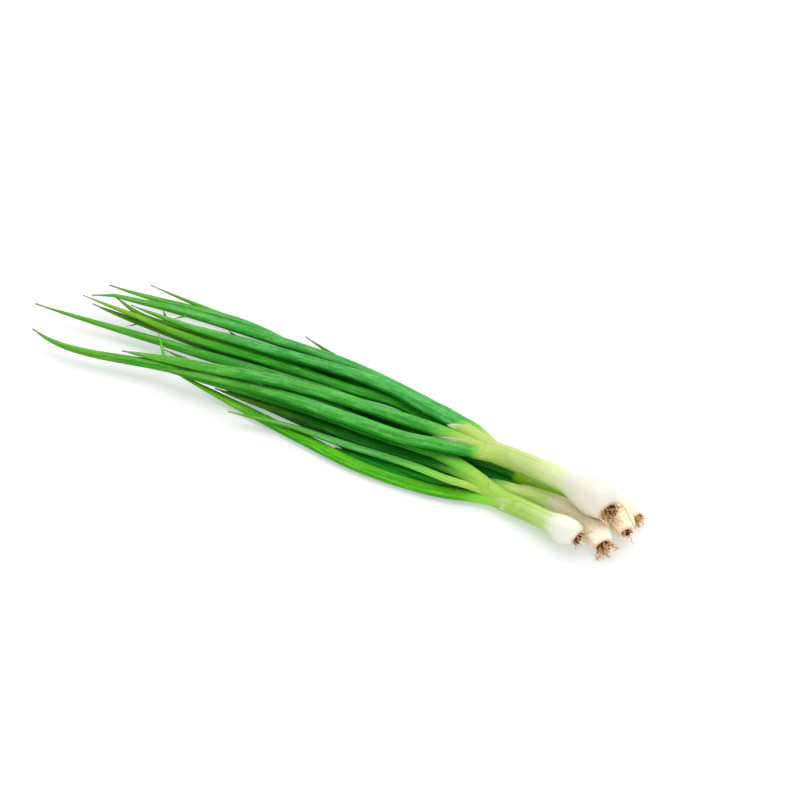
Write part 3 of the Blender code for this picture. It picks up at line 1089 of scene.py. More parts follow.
@dataclass(frozen=True)
class LeafFinish:
    """Waxy leaf skin: pale at the stem, green along the blade, dry at the very tip.

    Bloom is how far the wax covers the top, as a painted sheen too, and age how far the blade
    yellows to its tip. Its underside is darkened as painted shade.
    """

    tone: Tone
    body: Colour
    shade: Colour
    bloom: float
    wax: Colour
    age: float = 0.25
    yellowed: Colour = srgb(136, 184, 36)
    turned: Colour = srgb(110, 150, 60)
    dried: Colour = srgb(118, 128, 96)

    def material(self, plant: str) -> bpy.types.Material:
        """Builds the material.

        Args:
            plant: The plant whose stem the leaf's neck matches.

        Returns:
            The material.
        """
        graph = ShaderGraph(f"leaf_{self.tone.value}_{plant}")
        step, blend = graph.smoothstep, graph.blend
        skin = graph.skin()
        upper = skin[1]
        share, blade = graph.attribute("share"), graph.attribute("blade")
        veins, bands, patches = (graph.streaks(skin, kind) for kind in LEAF_STREAKS)
        speckle = graph.noise(graph.place(), SPECKLE_SCALE, 3.0, 4.0)

        # The green blade: bands, paler patches and veins, wax bloom on top that is also a painted
        # sheen, and painted shade below
        lit = lightened(self.body, 1.4)
        green = blend(step(bands, 0.34, 0.64), self.shade, self.body)
        green = blend(step(patches, 0.5, 0.7) * 0.5, green, lit)
        green = blend(step(veins, 0.5, 0.68) * 0.45, green, lit)
        green = blend(step(veins, 0.46, 0.3) * 0.45, green, self.shade)
        # The wax bloom lies only on the leaf's top, where it also stands for a painted sheen
        painted_top_sheen = step(upper + (patches - 0.5) * 0.6, 0.15, 0.85)
        wax = step(patches + (speckle - 0.5) * 0.6, 0.36, 0.66) * 0.65 + 0.35
        green = blend(wax * painted_top_sheen * self.bloom, green, self.wax)
        # Painted shade: the leaf's underside is blended towards a darker copy of its shade green
        painted_shade_below = step(upper + (bands - 0.5) * 0.4, 0.2, -0.45)
        green = blend(painted_shade_below * 0.85, green, tinted(self.shade, 0.55))

        # The neck, in the colour of its stem, and how the green comes in
        neck = STEM_FINISHES[plant].fork
        pale = blend(step(veins, 0.4, 0.66), neck, lightened(neck, 1.06))
        # Painted shade on the underside of the neck as well
        pale = blend(painted_shade_below * 0.5, pale, tinted(neck, 0.6, 0.8, 0.3))
        wander = blade + (bands - 0.5) * blade * (1 - blade) * 2.0
        lime = tuple(0.35 * c + 0.65 * d for c, d in zip(neck, lit))
        colour = blend(step(wander, 0.0, 0.5), pale, lime)
        colour = blend(step(wander, 0.4, 1.0), colour, green)

        # The ageing tip
        aged = step(share + (patches - 0.5) * 0.3, 0.6, 0.95) * self.age
        colour = blend(aged, colour, self.yellowed)
        end = share + (veins - 0.5) * 0.012
        colour = blend(step(end, 0.9, 0.98) * 0.4, colour, self.turned)
        dry = step(end, 0.978, 0.996)
        colour = blend(dry * 0.8, colour, self.dried)
        rough = step(veins, 0.2, 0.8, 0.36, 0.5) + dry * 0.3
        height = veins * 0.5 + bands * 0.3 + patches * 0.2
        return graph.finish(colour, rough, height, LEAF_SURFACE)


@dataclass(frozen=True)
class StemFinish:
    """Bulb and stem: ivory at the bulb, through pale green to yellow-green at the fork.

    Stops are the lengths from the root plate, in millimetres, at which the bulb's colour ends,
    the middle colour is full and the fork's colour is full. Tan is how papery the bulb is.
    """

    plant: str
    bulb: Colour
    middle: Colour
    fork: Colour
    stops: tuple[float, float, float]
    tan: float
    streak: Colour = srgb(226, 232, 190)
    paper: Colour = srgb(242, 212, 164)
    plate: Colour = srgb(206, 170, 118)

    def material(self) -> bpy.types.Material:
        """Builds the material.

        Returns:
            The material.
        """
        graph = ShaderGraph(f"stem_{self.plant}")
        step, blend = graph.smoothstep, graph.blend
        skin = graph.skin()
        _, upper, length = skin
        veins, bands, patches = (graph.streaks(skin, kind) for kind in STEM_STREAKS)
        end, middle, fork = (stop * MM for stop in self.stops)
        wander = length + (bands - 0.5) * 0.022 + (veins - 0.5) * 0.010
        colour = blend(step(wander, end, middle), self.bulb, self.middle)
        colour = blend(step(wander, middle, fork), colour, self.fork)
        along = step(length, end, middle)
        dark = step(veins, 0.5, 0.7) * along
        colour = blend(dark * 0.18, colour, tinted(self.fork, 0.72))
        pale = step(bands, 0.52, 0.36)
        colour = blend(pale * along * 0.25, colour, self.streak)
        papery = step(patches + (veins - 0.5) * 0.3, 0.8 - self.tan * 0.45, 1.0)
        papery = papery * step(length, middle, end * 0.6)
        colour = blend(papery * self.tan, colour, self.paper)
        # Painted shade: the stem's underside is blended towards a darker, yellower copy of the
        # fork's colour
        painted_shade_below = step(upper + (bands - 0.5) * 0.5, 0.0, -0.8)
        colour = blend(painted_shade_below * along * 0.35, colour, tinted(self.fork, 0.7, 0.85, 0.35))
        plate = step(length + (veins - 0.5) * 0.002, 0.0012, 0.0002)
        colour = blend(plate * 0.5, colour, self.plate)
        rough = step(veins, 0.2, 0.8, 0.3, 0.42) + papery * 0.25
        return graph.finish(colour, rough, veins * 0.5 + bands * 0.5, STEM_SURFACE)


@dataclass(frozen=True)
class CollarFinish:
    """Thin rim of a sheath: its stem's colour, and papery pale at its edge."""

    plant: str
    edge: Colour = srgb(220, 230, 200)

    def material(self) -> bpy.types.Material:
        """Builds the material.

        Returns:
            The material.
        """
        graph = ShaderGraph(f"sheath_rim_{self.plant}")
        veins = graph.streaks(graph.skin(), RIM_VEINS)
        body = STEM_FINISHES[self.plant].fork
        body = graph.blend(graph.smoothstep(veins, 0.35, 0.7), body, lightened(body, 1.06))
        near = graph.smoothstep(graph.attribute("blade") + (veins - 0.5) * 0.5, 0.2, 0.9)
        colour = graph.blend(near * 0.7, body, self.edge)
        rough = graph.smoothstep(veins, 0.2, 0.8, 0.34, 0.5)
        return graph.finish(colour, rough, veins, RIM_SURFACE)


@dataclass(frozen=True)
class SkinFinish:
    """Dry papery outer skin, with painted shade in the dips of its folds."""

    body: Colour = srgb(255, 224, 174)
    edge: Colour = srgb(255, 241, 216)
    painted_fold_shade: Colour = srgb(214, 150, 90)

    def material(self) -> bpy.types.Material:
        """Builds the material.

        Returns:
            The material.
        """
        graph = ShaderGraph("papery_skin")
        across, along, wave = graph.skin()
        veins = graph.noise(graph.combined(across * 14.0, along * 3.0), 1.0, 4.0, 9.0, 0.6)
        colour = graph.blend(graph.smoothstep(veins, 0.3, 0.7), self.body, self.edge)
        # Painted shade: darker where the crumpled skin dips
        dark = graph.smoothstep(wave + (veins - 0.5) * 0.4, 0.5, 0.25)
        colour = graph.blend(dark * 0.4, colour, self.painted_fold_shade)
        rough = graph.smoothstep(veins, 0.2, 0.8, 0.5, 0.7)
        return graph.finish(colour, rough, veins, PAPER_SURFACE)


@dataclass(frozen=True)
class RootFinish:
    """Dry roots, from a dark brown mat to tan rootlets, on an ochre plate."""

    dark: Colour = srgb(88, 46, 20)
    tan: Colour = srgb(214, 168, 112)
    plate: Colour = srgb(206, 162, 96)

    def material(self) -> bpy.types.Material:
        """Builds the material.

        Returns:
            The material.
        """
        graph = ShaderGraph("dry_root")
        tone = graph.attribute("tone")
        grain = graph.noise(graph.place(), 1400.0, 3.0, 10.0, 0.6)
        light = tone + (grain - 0.5) * 0.5 + graph.attribute("reach") * 0.2
        colour = graph.blend(graph.smoothstep(light, 0.42, 0.78), self.dark, self.tan)
        ochre = graph.blend(graph.smoothstep(grain, 0.35, 0.65), self.plate,
                            tinted(self.plate, 0.6))
        colour = graph.blend(graph.smoothstep(tone, 1.2, 1.6), colour, ochre)
        rough = graph.smoothstep(grain, 0.3, 0.7, 0.6, 0.85)
        return graph.finish(colour, rough, grain, ROOT_SURFACE)


@dataclass(frozen=True)
class FloorFinish:
    """Plain pale surface with a faint glow, so that it is as bright as the photograph's."""

    colour: Colour = srgb(200, 190, 195)
    glow: Colour = srgb(232, 255, 242)
    strength: float = 0.4

    def material(self) -> bpy.types.Material:
        """Builds the material.

        Returns:
            The material.
        """
        graph = ShaderGraph("pale_floor")
        mottle = graph.noise(graph.place(), 3.0, 2.0, 11.0)
        colour = graph.blend(mottle * 0.15, self.colour, tinted(self.colour, 0.98))
        return graph.end({
            "Base Color": colour, "Roughness": 0.7, "Specular IOR Level": 0.0,
            "Emission Color": (*self.glow, 1.0), "Emission Strength": self.strength,
        })


LEAF_FINISHES = {finish.tone: finish for finish in (
    LeafFinish(Tone.BLUE, srgb(34, 158, 40), srgb(0, 116, 10), 0.36, srgb(130, 208, 128)),
    LeafFinish(Tone.MID, srgb(46, 160, 28), srgb(2, 116, 2), 0.38, srgb(126, 202, 112)),
    LeafFinish(Tone.OLIVE, srgb(46, 150, 26), srgb(2, 108, 2), 0.26, srgb(118, 194, 92)),
    # Deep green, darker partly as painted shade on the low leaves
    LeafFinish(Tone.DEEP_SHADED, srgb(4, 130, 12), srgb(0, 88, 0), 0.08, srgb(80, 172, 72)),
    LeafFinish(Tone.FADING, srgb(42, 160, 26), srgb(4, 118, 2), 0.2, srgb(120, 196, 84), 0.8),
    LeafFinish(Tone.LIME, srgb(92, 184, 20), srgb(30, 146, 0), 0.14, srgb(150, 214, 80)),
    LeafFinish(Tone.SHADED, srgb(16, 124, 12), srgb(0, 80, 0), 0.08, srgb(90, 172, 70)),
    LeafFinish(Tone.PALE, srgb(82, 176, 64), srgb(34, 142, 30), 0.4, srgb(150, 216, 146)),
)}
STEM_FINISHES = {finish.plant: finish for finish in (
    StemFinish("a", srgb(224, 221, 205), srgb(204, 218, 152), srgb(168, 195, 92),
               (26.0, 42.0, 62.0), 0.06),
    StemFinish("b", srgb(230, 230, 216), srgb(178, 208, 114), srgb(154, 194, 72),
               (10.0, 24.0, 36.0), 0.06),
    StemFinish("c", srgb(255, 242, 220), srgb(226, 228, 196), srgb(190, 216, 118),
               (22.0, 38.0, 56.0), 0.4),
    StemFinish("d", srgb(255, 238, 208), srgb(212, 238, 44), srgb(168, 218, 0),
               (24.0, 36.0, 50.0), 0.4),
    StemFinish("e", srgb(238, 230, 210), srgb(206, 224, 116), srgb(150, 200, 50),
               (24.0, 44.0, 62.0), 0.3),
)}


def leaf_materials(plans: Sequence[LeafPlan]) -> dict[str, bpy.types.Material]:
    """A leaf material for each tone on each plant, whose neck has its stem's colour.

    Args:
        plans: The leaves.

    Returns:
        The material of each leaf, by the leaf's name.
    """
    made: dict[tuple[Tone, str], bpy.types.Material] = {}
    for plan in plans:
        key = (plan.tone, plan.plant)
        if key not in made:
            made[key] = LEAF_FINISHES[plan.tone].material(plan.plant)
    return {plan.name: made[plan.tone, plan.plant] for plan in plans}


def polyline(name: str, points: np.ndarray, half_width: np.ndarray) -> bpy.types.Mesh:
    """A line of points with a half width each.

    Args:
        name: The mesh's name.
        points: Points in millimetres.
        half_width: Half widths in millimetres.

    Returns:
        The mesh.
    """
    mesh = bpy.data.meshes.new(name)
    edges = [(i, i + 1) for i in range(len(points) - 1)]
    mesh.from_pydata([tuple(point * MM) for point in points], edges, [])
    layer = mesh.attributes.new("half_width", "FLOAT", "POINT")
    layer.data.foreach_set("value", (half_width * MM).astype(np.float32))
    return mesh


def own(piece: bpy.types.Object, slot: Slot, *nodes: str) -> None:
    """Gives a piece its body and hides the nodes that it stands for.

    Args:
        piece: The piece.
        slot: The record's slot; not used.
        nodes: The nodes, if any.
    """
    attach(piece, "root")
    if nodes:
        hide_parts(*nodes)
    log.info("%s: %d faces", piece.name, len(piece.data.polygons))


JOIN_START = 4.0  # length of sheath that is as round as its stem
JOIN_END = 52.0  # length at which a leaf has its own flatness
FULLER = 1.12  # how much wider the lowest leaves are, where they press together
SLIM_END = 38.0  # length at which a sheath is as slim as its leaf
COVER_START = -0.08  # how far a sheath starts under its stem's surface
COVER_RISE = 12.0  # length over which it comes through
LINE_STEP = 1.5

PLAIN_TUBE = {
    "First Length": 0.0, "Base Flatness": 1.0, "Blade Flatness": 1.0, "Blade Start": 0.0,
    "Blade Full": 1.0, "Edge": 0.0, "Groove": 0.0, "Ridges": 0.0, "Ridge Depth": 0.0,
    "Slant": 0.0, "Slant Turn": 0.0, "Tip Twist": 0.0, "Green Start": 0.0, "Green Full": 1.0,
}
SHEATHED_TUBE = {
    **PLAIN_TUBE, "Blade Flatness": LEAF_FLATNESS, "Blade Start": JOIN_START * MM,
    "Blade Full": JOIN_END * MM,
}
ALL_GREEN = {"Green Start": -1.0, "Green Full": -0.5}


def sheathed_line(plan: LeafPlan, strand: Strand,
                  length: np.ndarray) -> tuple[np.ndarray, np.ndarray]:
    """Centre line and half width of a leaf that grows out of its stem as a sheath.

    Args:
        plan: The leaf's plan.
        strand: The laid leaf.
        length: Lengths from the leaf's start inside its stem.

    Returns:
        Points and half widths, in millimetres.
    """
    apart = ease((length - JOIN_START) / (plan.leaves_at - JOIN_START))
    slim = ease((length - JOIN_START) / (SLIM_END - JOIN_START))
    on_stem = strand.stem.places(strand.start_on_stem + length)
    points = on_stem + apart[:, None] * (strand.places(length) - on_stem)
    cover = 1 + COVER_START + (plan.cover - COVER_START) * ease(length / COVER_RISE)
    sheath = PLANTS[plan.plant].stem / 2 * cover
    whole = np.append(length, strand.length[-1])
    width = plan.width * (FULLER if plan.tone is Tone.DEEP_SHADED else 1.0)
    blade = leaf_radius(width, whole, Leaf.tip_width, (plan.late, Leaf.bluntness))[:-1]
    return points, sheath + slim * (blade - sheath)


@dataclass
class Leaf:
    """A leaf with its sheath, from inside the stem to its dry tip."""

    plan: LeafPlan
    strand: Strand
    seed: int
    sides: int = 30
    ring_spacing: float = 1.6
    tip_width: float = 1.1
    bluntness: float = 0.75
    edge: float = 0.2
    groove: float = 0.05
    ripple: float = 0.09
    ripple_scale: float = 45.0
    ridges: float = 5.0
    ridge_depth: float = 0.022
    most_twist: float = 0.5
    twist_step: float = 2.4

    def build(self, tree: GeometryGraph, finish: bpy.types.Material) -> bpy.types.Object:
        """Builds the leaf.

        Args:
            tree: The tube tree.
            finish: The leaf's material.

        Returns:
            The leaf.
        """
        end = self.strand.length[-1]
        length = np.linspace(0, end, round(end / LINE_STEP))
        points, half_width = sheathed_line(self.plan, self.strand, length)
        return tree.run(f"{self.plan.name}_skin", polyline(self.plan.name, points, half_width), {
            **SHEATHED_TUBE, "Sides": self.sides, "Rings": round(end / self.ring_spacing),
            "Length": float(end * MM), "Edge": self.edge, "Groove": self.groove,
            "Ridges": self.ridges, "Ridge Depth": self.ridge_depth, "Ripple": self.ripple,
            "Ripple Scale": self.ripple_scale, "Seed": float(self.seed),
            "Tip Twist": self.most_twist * math.sin(self.seed * self.twist_step),
            "Green Start": self.plan.green_start * MM, "Green Full": self.plan.green_full * MM,
            "Finish": finish,
        })

    def dress(self, piece: bpy.types.Object) -> None:
        """Puts the leaf in its solid's place."""
        slot = Slot.LEAF if self.plan.plant in "ab" else Slot.LOWER_LEAF
        own(piece, slot, self.plan.name)


@dataclass(frozen=True)
class CollarPlan:
    """Where the thin rim of a sheath ends on a leaf, as lengths from the leaf's start.

    Slant is the share of the rim's length that is cut away on the side that turn points to, in
    degrees from the leaf's side. Pale is the length of the rim's whitish end.
    """

    leaf: str
    start: float
    end: float
    slant: float
    turn: float
    pale: float


COLLARS = (
    CollarPlan("leaf_a4", 12.0, 64.0, 0.7, 150.0, 34.0),
    CollarPlan("leaf_a3", 8.0, 33.0, 0.2, 100.0, 3.0),
    CollarPlan("leaf_a2", 14.0, 60.0, 0.5, 180.0, 12.0),
    CollarPlan("leaf_b3", 12.0, 42.0, 0.4, 20.0, 12.0),
    CollarPlan("leaf_b1", 4.0, 24.0, 0.3, 60.0, 14.0),
    CollarPlan("leaf_b4", 14.0, 62.0, 0.3, 60.0, 20.0),
)


@dataclass
class Collar:
    """The thin rim of a sheath, where a leaf comes out of it."""

    plan: CollarPlan
    bunch: Bunch
    sides: int = 36
    ring_spacing: float = 1.0
    thickness: float = 0.16
    rise: float = 8.0
    ripple: float = 0.02
    ripple_scale: float = 60.0

    def build(self, tree: GeometryGraph, finish: bpy.types.Material) -> bpy.types.Object:
        """Builds the rim.

        Args:
            tree: The tube tree.
            finish: The rim's material.

        Returns:
            The rim.
        """
        plan, name = self.plan, f"{self.plan.leaf}_rim"
        span = plan.end - plan.start
        length = np.linspace(plan.start, plan.end, round(span / LINE_STEP) + 2)
        points, half_width = sheathed_line(self.bunch.plans[plan.leaf],
                                           self.bunch.leaves[plan.leaf], length)
        half_width += self.thickness * (2 * ease((length - plan.start) / self.rise) - 1)
        return tree.run(name, polyline(name, points, half_width), {
            **SHEATHED_TUBE, "Sides": self.sides, "Rings": round(span / self.ring_spacing),
            "Length": span * MM, "First Length": plan.start * MM, "Edge": Leaf.edge,
            "Ripple": self.ripple, "Ripple Scale": self.ripple_scale,
            "Seed": float(len(plan.leaf)), "Slant": plan.slant,
            "Slant Turn": math.radians(plan.turn),
            "Green Start": (plan.end - plan.pale) * MM, "Green Full": plan.end * MM,
            "Finish": finish,
        })

    def dress(self, piece: bpy.types.Object) -> None:
        """Gives the rim its body."""
        own(piece, Slot.PALE_STEM)


@dataclass
class Onion:
    """A bulb with its stem."""

    name: str
    strand: Strand
    seed: int
    sides: int = 56
    ring_spacing: float = 0.7
    line_step: float = 0.5
    ridges: float = 7.0
    ridge_depth: float = 0.01
    ripple: float = 0.07
    ripple_scale: float = 40.0

    def build(self, tree: GeometryGraph, finish: bpy.types.Material) -> bpy.types.Object:
        """Builds the bulb and stem.

        Args:
            tree: The tube tree.
            finish: The stem's material.

        Returns:
            The bulb and stem.
        """
        end = self.strand.length[-1]
        length = np.linspace(0, end, round(end / self.line_step))
        points = self.strand.places(length)
        half_width = stem_radius(PLANTS[self.name], length)
        return tree.run(f"stem_{self.name}", polyline(self.name, points, half_width), {
            **PLAIN_TUBE, "Sides": self.sides, "Rings": round(end / self.ring_spacing),
            "Length": float(end * MM), "Ridges": self.ridges, "Ridge Depth": self.ridge_depth,
            "Ripple": self.ripple, "Ripple Scale": self.ripple_scale, "Seed": float(self.seed),
            "Finish": finish,
        })

    def dress(self, piece: bpy.types.Object) -> None:
        """Puts the stem in its solid's place."""
        own(piece, Slot.PALE_STEM, f"onion_{self.name}")


@dataclass(frozen=True)
class TuftPlan:
    """A root tuft: its radius over the bulb's, its roots and the tone of its plate.

    Crowd is the roots per square millimetre, long_share the share of long pale ones. The plate
    is dark under a tone of 0 and ochre over 1.
    """

    radius: float
    crowd: float
    long_share: float
    curl: float
    plate: float


TUFTS = {
    "a": TuftPlan(0.42, 1.6, 0.2, 2.2, -1.0),
    "b": TuftPlan(0.42, 1.5, 0.15, 2.0, -1.0),
    "c": TuftPlan(0.46, 1.6, 0.4, 1.6, -1.0),
    "d": TuftPlan(0.38, 1.6, 0.1, 2.0, -1.0),
    "e": TuftPlan(0.6, 0.7, 0.25, 1.8, 2.0),
}


@dataclass
class RootTuft:
    """A plant's root plate and trimmed roots."""

    name: str
    strand: Strand
    thickness: float = 0.42
    spread: float = 0.8
    droop: float = 0.15
    overlength: float = 0.5

    def build(self, tree: GeometryGraph, finish: bpy.types.Material) -> bpy.types.Object:
        """Builds the tuft.

        Args:
            tree: The root tree.
            finish: The roots' material.

        Returns:
            The tuft.
        """
        plant, plan = PLANTS[self.name], TUFTS[self.name]
        end, inner = self.strand.places(np.array([0.0, STATION]))
        out = Vector(end - inner).normalized()
        source = bpy.data.meshes.new(f"roots_{self.name}_source")
        radius = plan.radius * plant.bulb / 2
        return tree.run(f"root_tuft_{self.name}", source, {
            "Roots": round(plan.crowd * math.pi * radius**2), "Plate Radius": radius * MM,
            "Root Length": (plant.root_length + self.overlength) * MM,
            "Thickness": self.thickness * MM, "Spread": self.spread, "Curl": plan.curl,
            "Droop": self.droop, "Long Share": plan.long_share, "Plate Tone": plan.plate,
            "Seed": plant.seed, "Place": tuple(Vector(end) * MM),
            "Facing": tuple(out.to_track_quat("Z", "Y").to_euler()), "Finish": finish,
        })

    def dress(self, piece: bpy.types.Object) -> None:
        """Puts the tuft in its solid's place."""
        own(piece, Slot.ROOT, f"roots_{self.name}")


@dataclass(frozen=True)
class SkinPlan:
    """A patch of papery skin: lengths on a stem, and its middle and arc in degrees round it."""

    name: str
    plant: str
    start: float
    end: float
    turn: float
    arc: float
    lift: float


SKINS = (
    SkinPlan("skin_c_top", "c", 6.0, 46.0, 60.0, 130.0, 0.3),
    SkinPlan("skin_c_side", "c", 0.5, 13.0, -10.0, 60.0, 0.6),
    SkinPlan("skin_d_side", "d", 1.0, 18.0, 150.0, 80.0, 0.4),
    SkinPlan("skin_d_low", "d", 0.3, 9.0, -20.0, 60.0, 0.8),
)


@dataclass
class PaperSkin:
    """A thin, ragged patch of papery skin that is still on a bulb."""

    plan: SkinPlan
    bunch: Bunch
    sides: int = 48
    ring_spacing: float = 0.5
    line_points: int = 40
    thickness: float = 0.1
    ragged: float = 0.5

    def build(self, tree: GeometryGraph, finish: bpy.types.Material) -> bpy.types.Object:
        """Builds the patch.

        Args:
            tree: The skin tree.
            finish: The skin's material.

        Returns:
            The patch.
        """
        plan, plant = self.plan, PLANTS[self.plan.plant]
        stem = self.bunch.stems[plan.plant]
        length = np.linspace(plan.start, plan.end, self.line_points)
        radius = stem_radius(plant, np.append(length, stem.length[-1]))[:-1]
        return tree.run(plan.name, polyline(plan.name, stem.places(length), radius), {
            "Sides": self.sides, "Rings": round((plan.end - plan.start) / self.ring_spacing),
            "Thickness": self.thickness * MM, "Arc": math.radians(plan.arc),
            "Turn": math.radians(plan.turn), "Lift": plan.lift * MM, "Ragged": self.ragged,
            "Seed": float(len(plan.name)), "Finish": finish,
        })

    def dress(self, piece: bpy.types.Object) -> None:
        """Gives the patch its body."""
        own(piece, Slot.PALE_STEM)


@dataclass(frozen=True)
class InnerPlan:
    """A leaf that shows only as dark green deep in a gap: its width, height and plan points."""

    name: str
    width: float
    height: float
    course: Course


INNER_LEAVES = (
    InnerPlan("inner_leaf_1", 10.0, 4.5,
              ((-78, 16), (-54, 16), (-26, 21.5), (-2, 24), (31, 22), (50, 18))),
    InnerPlan("inner_leaf_2", 11.0, 4.5,
              ((0, -2), (18, -1), (34, -2), (55, -4), (92, -9), (118, -12))),
    InnerPlan("inner_leaf_3", 9.0, 4.0, ((30, -38), (55, -39), (73, -40), (96, -38), (119, -33))),
    InnerPlan("inner_leaf_5", 6.0, 4.0, ((-70, 23), (-55, 24.8), (-40, 25.6), (-22, 26.5))),
    InnerPlan("inner_leaf_4", 8.0, 4.0, ((20, -13), (36, -16), (50, -17.8), (70, -20))),
)


@dataclass
class InnerLeaf:
    """A leaf that is almost hidden by the others."""

    plan: InnerPlan
    sides: int = 20
    ring_spacing: float = 2.0
    narrow: float = 0.75

    def build(self, tree: GeometryGraph, finish: bpy.types.Material) -> bpy.types.Object:
        """Builds the leaf.

        Args:
            tree: The tube tree.
            finish: Its material.

        Returns:
            The leaf.
        """
        spots = np.array([(x, y, self.plan.height) for x, y in self.plan.course], float)
        span = float(np.linalg.norm(spots[-1] - spots[0]))
        t = np.linspace(0, 1, round(span / self.ring_spacing))
        at = np.linspace(0, 1, len(spots))
        points = np.column_stack([np.interp(t, at, axis) for axis in spots.T])
        half_width = self.plan.width / 2 * (1 - self.narrow * (2 * np.abs(t - 0.5))**3)
        return tree.run(self.plan.name, polyline(self.plan.name, points, half_width), {
            **PLAIN_TUBE, **ALL_GREEN, "Sides": self.sides, "Rings": len(t),
            "Length": span * MM, "Base Flatness": LEAF_FLATNESS,
            "Blade Flatness": LEAF_FLATNESS, "Ridges": Leaf.ridges,
            "Ridge Depth": Leaf.ridge_depth, "Ripple": Leaf.ripple,
            "Ripple Scale": Leaf.ripple_scale, "Seed": float(self.plan.width),
            "Finish": finish,
        })

    def dress(self, piece: bpy.types.Object) -> None:
        """Gives the leaf its body."""
        own(piece, Slot.LOWER_LEAF)


@dataclass(frozen=True)
class SprigPlan:
    """A torn bit of leaf: three points from its base to its tip, its width and tone."""

    name: str
    base: Spot
    middle: Spot
    tip: Spot
    width: float
    tone: Tone


SPRIGS = (
    SprigPlan("sprig_1", (-130, 16, 14), (-134, 18.5, 15), (-138.5, 22, 16), 2.0, Tone.DEEP_SHADED),
    SprigPlan("sprig_2", (-125, 30.5, 11), (-128.5, 27, 11), (-131.5, 21.5, 11), 1.6, Tone.OLIVE),
    SprigPlan("sprig_3", (-82, 31, 5), (-90, 33.5, 5), (-98, 38, 4), 3.0, Tone.DEEP_SHADED),
    SprigPlan("sprig_4", (-152.5, 12, 6.5), (-154.5, 9, 6.5), (-157, 6, 6.5), 1.4, Tone.OLIVE),
    SprigPlan("sprig_5", (-105, -22, 15), (-116.5, -10, 13), (-130, 5, 10), 2.2, Tone.LIME),
)


@dataclass
class Sprig:
    """A torn bit of leaf that lies among the leaves."""

    plan: SprigPlan
    sides: int = 12
    rings: int = 24
    flatness: float = 0.5
    narrow: float = 0.7
    ridges: float = 3.0
    ridge_depth: float = 0.1
    ripple: float = 0.3
    ripple_scale: float = 400.0
    twist: float = 1.2

    def build(self, tree: GeometryGraph, finish: bpy.types.Material) -> bpy.types.Object:
        """Builds the sprig.

        Args:
            tree: The tube tree.
            finish: Its material.

        Returns:
            The sprig.
        """
        base, middle, tip = (np.array(spot, float) for spot in
                             (self.plan.base, self.plan.middle, self.plan.tip))
        t = np.linspace(0, 1, self.rings)[:, None]
        pull = 2 * middle - (base + tip) / 2
        points = (1 - t)**2 * base + 2 * t * (1 - t) * pull + t**2 * tip
        half_width = self.plan.width / 2 * (1 - self.narrow * t[:, 0]**2)
        return tree.run(self.plan.name, polyline(self.plan.name, points, half_width), {
            **PLAIN_TUBE, **ALL_GREEN, "Sides": self.sides, "Rings": self.rings,
            "Length": float(np.linalg.norm(tip - base) * MM), "Base Flatness": self.flatness,
            "Blade Flatness": self.flatness, "Ridges": self.ridges,
            "Ridge Depth": self.ridge_depth, "Ripple": self.ripple,
            "Ripple Scale": self.ripple_scale, "Seed": float(len(self.plan.name)),
            "Tip Twist": self.twist, "Finish": finish,
        })

    def dress(self, piece: bpy.types.Object) -> None:
        """Gives the sprig its body."""
        own(piece, Slot.LOWER_LEAF)


@dataclass(frozen=True)
class Lamp:
    """A soft lamp and where its light comes from: aside, behind and above the camera's target."""

    name: str
    strength: float
    spread: float
    place: Spot


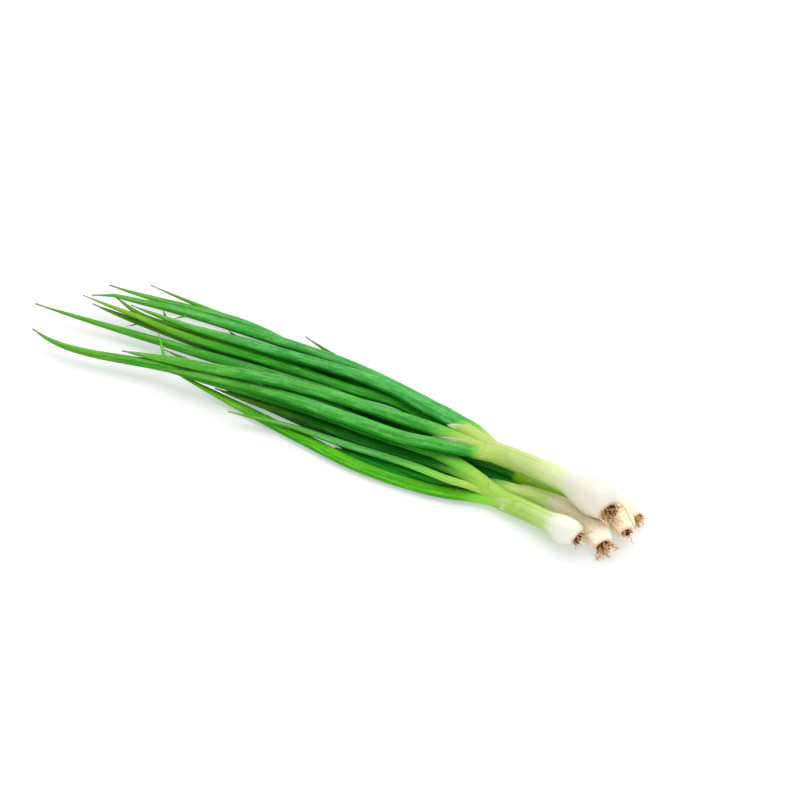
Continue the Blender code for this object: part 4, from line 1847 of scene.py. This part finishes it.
@dataclass
class Stage:
    """The pale floor, the soft light and the camera."""

    target: Spot = (-MIDDLE[0] * MM, -MIDDLE[1] * MM, 0.0)
    azimuth: float = math.radians(30.0)
    elevation: float = math.radians(35.0)
    distance: float = 1.18
    lens: float = 85.0
    sensor: float = 36.0
    floor_size: float = 12.0
    floor_cells: int = 8
    fill: float = 0.76
    fill_heights: tuple[float, float] = (0.2, 0.5)
    lamps: tuple[Lamp, ...] = (
        Lamp("key_light", 1.75, 70.0, (0.3, 0.55, 1.25)),
        Lamp("front_light", 0.6, 80.0, (0.1, -1.0, 0.35)),
    )

    def build_floor(self) -> None:
        """Lays the floor."""
        half, cells = self.floor_size / 2, self.floor_cells
        steps = np.linspace(-half, half, cells + 1)
        points = [(x, y, 0.0) for y in steps for x in steps]
        corners = (0, 1, cells + 2, cells + 1)
        faces = [
            tuple(j * (cells + 1) + i + corner for corner in corners)
            for j in range(cells) for i in range(cells)
        ]
        mesh = bpy.data.meshes.new("floor")
        mesh.from_pydata(points, [], faces)
        floor = bpy.data.objects.new("floor", mesh)
        bpy.context.scene.collection.objects.link(floor)
        mesh.materials.append(FloorFinish().material())

    def build_lights(self) -> None:
        """Sets a white fill, a soft key light from behind and a weak light in front.

        The fill is full at the horizon, where it is the backdrop, and weaker above.
        """
        world = bpy.data.worlds.new("soft_studio")
        world.use_nodes = True
        graph = Graph(world.node_tree)
        _, _, height = graph.parts(graph.value("ShaderNodeTexCoord", None, None, "Generated"))
        light = graph.value("ShaderNodeBackground", None, {
            "Color": (1.0, 1.0, 1.0, 1.0),
            "Strength": graph.smoothstep(height, *self.fill_heights, 1.0, self.fill),
        })
        graph.node("ShaderNodeOutputWorld", None, {"Surface": light})
        bpy.context.scene.world = world
        right = Vector((math.cos(self.azimuth), math.sin(self.azimuth), 0.0))
        away = Vector((-right.y, right.x, 0.0))
        for lamp in self.lamps:
            light = bpy.data.lights.new(lamp.name, "SUN")
            light.energy = lamp.strength
            light.angle = math.radians(lamp.spread)
            holder = bpy.data.objects.new(lamp.name, light)
            aside, behind, above = lamp.place
            towards = right * aside + away * behind + Vector((0, 0, above))
            holder.rotation_euler = towards.to_track_quat("Z", "Y").to_euler()
            bpy.context.scene.collection.objects.link(holder)

    def build_camera(self) -> None:
        """Points the camera as the photograph was taken."""
        level = math.cos(self.elevation)
        back = Vector((math.sin(self.azimuth) * level, -math.cos(self.azimuth) * level,
                       math.sin(self.elevation)))
        lens = bpy.data.cameras.new("view")
        lens.lens = self.lens
        lens.sensor_width = self.sensor
        camera = bpy.data.objects.new("view", lens)
        camera.location = Vector(self.target) + back * self.distance
        camera.rotation_euler = back.to_track_quat("Z", "Y").to_euler()
        bpy.context.scene.collection.objects.link(camera)
        bpy.context.scene.camera = camera


FIRST_STEM_SEED = 40
TORN_FROM = "d"  # plant whose leaves the torn bits match


def main() -> None:
    """Builds the bunch and its stage."""
    logging.basicConfig(level=logging.INFO, format="%(message)s")
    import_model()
    bpy.context.scene.view_settings.view_transform = "Standard"
    stage = Stage()
    stage.build_camera()
    stage.build_lights()
    stage.build_floor()

    bunch = Bunch()
    tubes, tufts, skins = sweep_tree(), root_tree(), skin_tree()
    greens = leaf_materials(list(bunch.plans.values()))
    for seed, (name, strand) in enumerate(bunch.leaves.items(), start=1):
        leaf = Leaf(bunch.plans[name], strand, seed)
        leaf.dress(leaf.build(tubes, greens[name]))
    rims = {plant: CollarFinish(plant).material() for plant in "ab"}
    for plan in COLLARS:
        collar = Collar(plan, bunch)
        collar.dress(collar.build(tubes, rims[bunch.plans[plan.leaf].plant]))
    roots = RootFinish().material()
    for seed, (name, strand) in enumerate(bunch.stems.items(), start=FIRST_STEM_SEED):
        onion = Onion(name, strand, seed)
        onion.dress(onion.build(tubes, STEM_FINISHES[name].material()))
        tuft = RootTuft(name, strand)
        tuft.dress(tuft.build(tufts, roots))
    # Inner leaves fill the gaps in the deep green, which there is partly painted shade
    for plan in INNER_LEAVES:
        inner = InnerLeaf(plan)
        inner.dress(inner.build(tubes, greens["leaf_d1"]))
    for plan in SPRIGS:
        sprig = Sprig(plan)
        sprig.dress(sprig.build(tubes, LEAF_FINISHES[plan.tone].material(TORN_FROM)))
    paper = SkinFinish().material()
    for plan in SKINS:
        skin = PaperSkin(plan, bunch)
        skin.dress(skin.build(skins, paper))


if __name__ == "__main__":
    main()
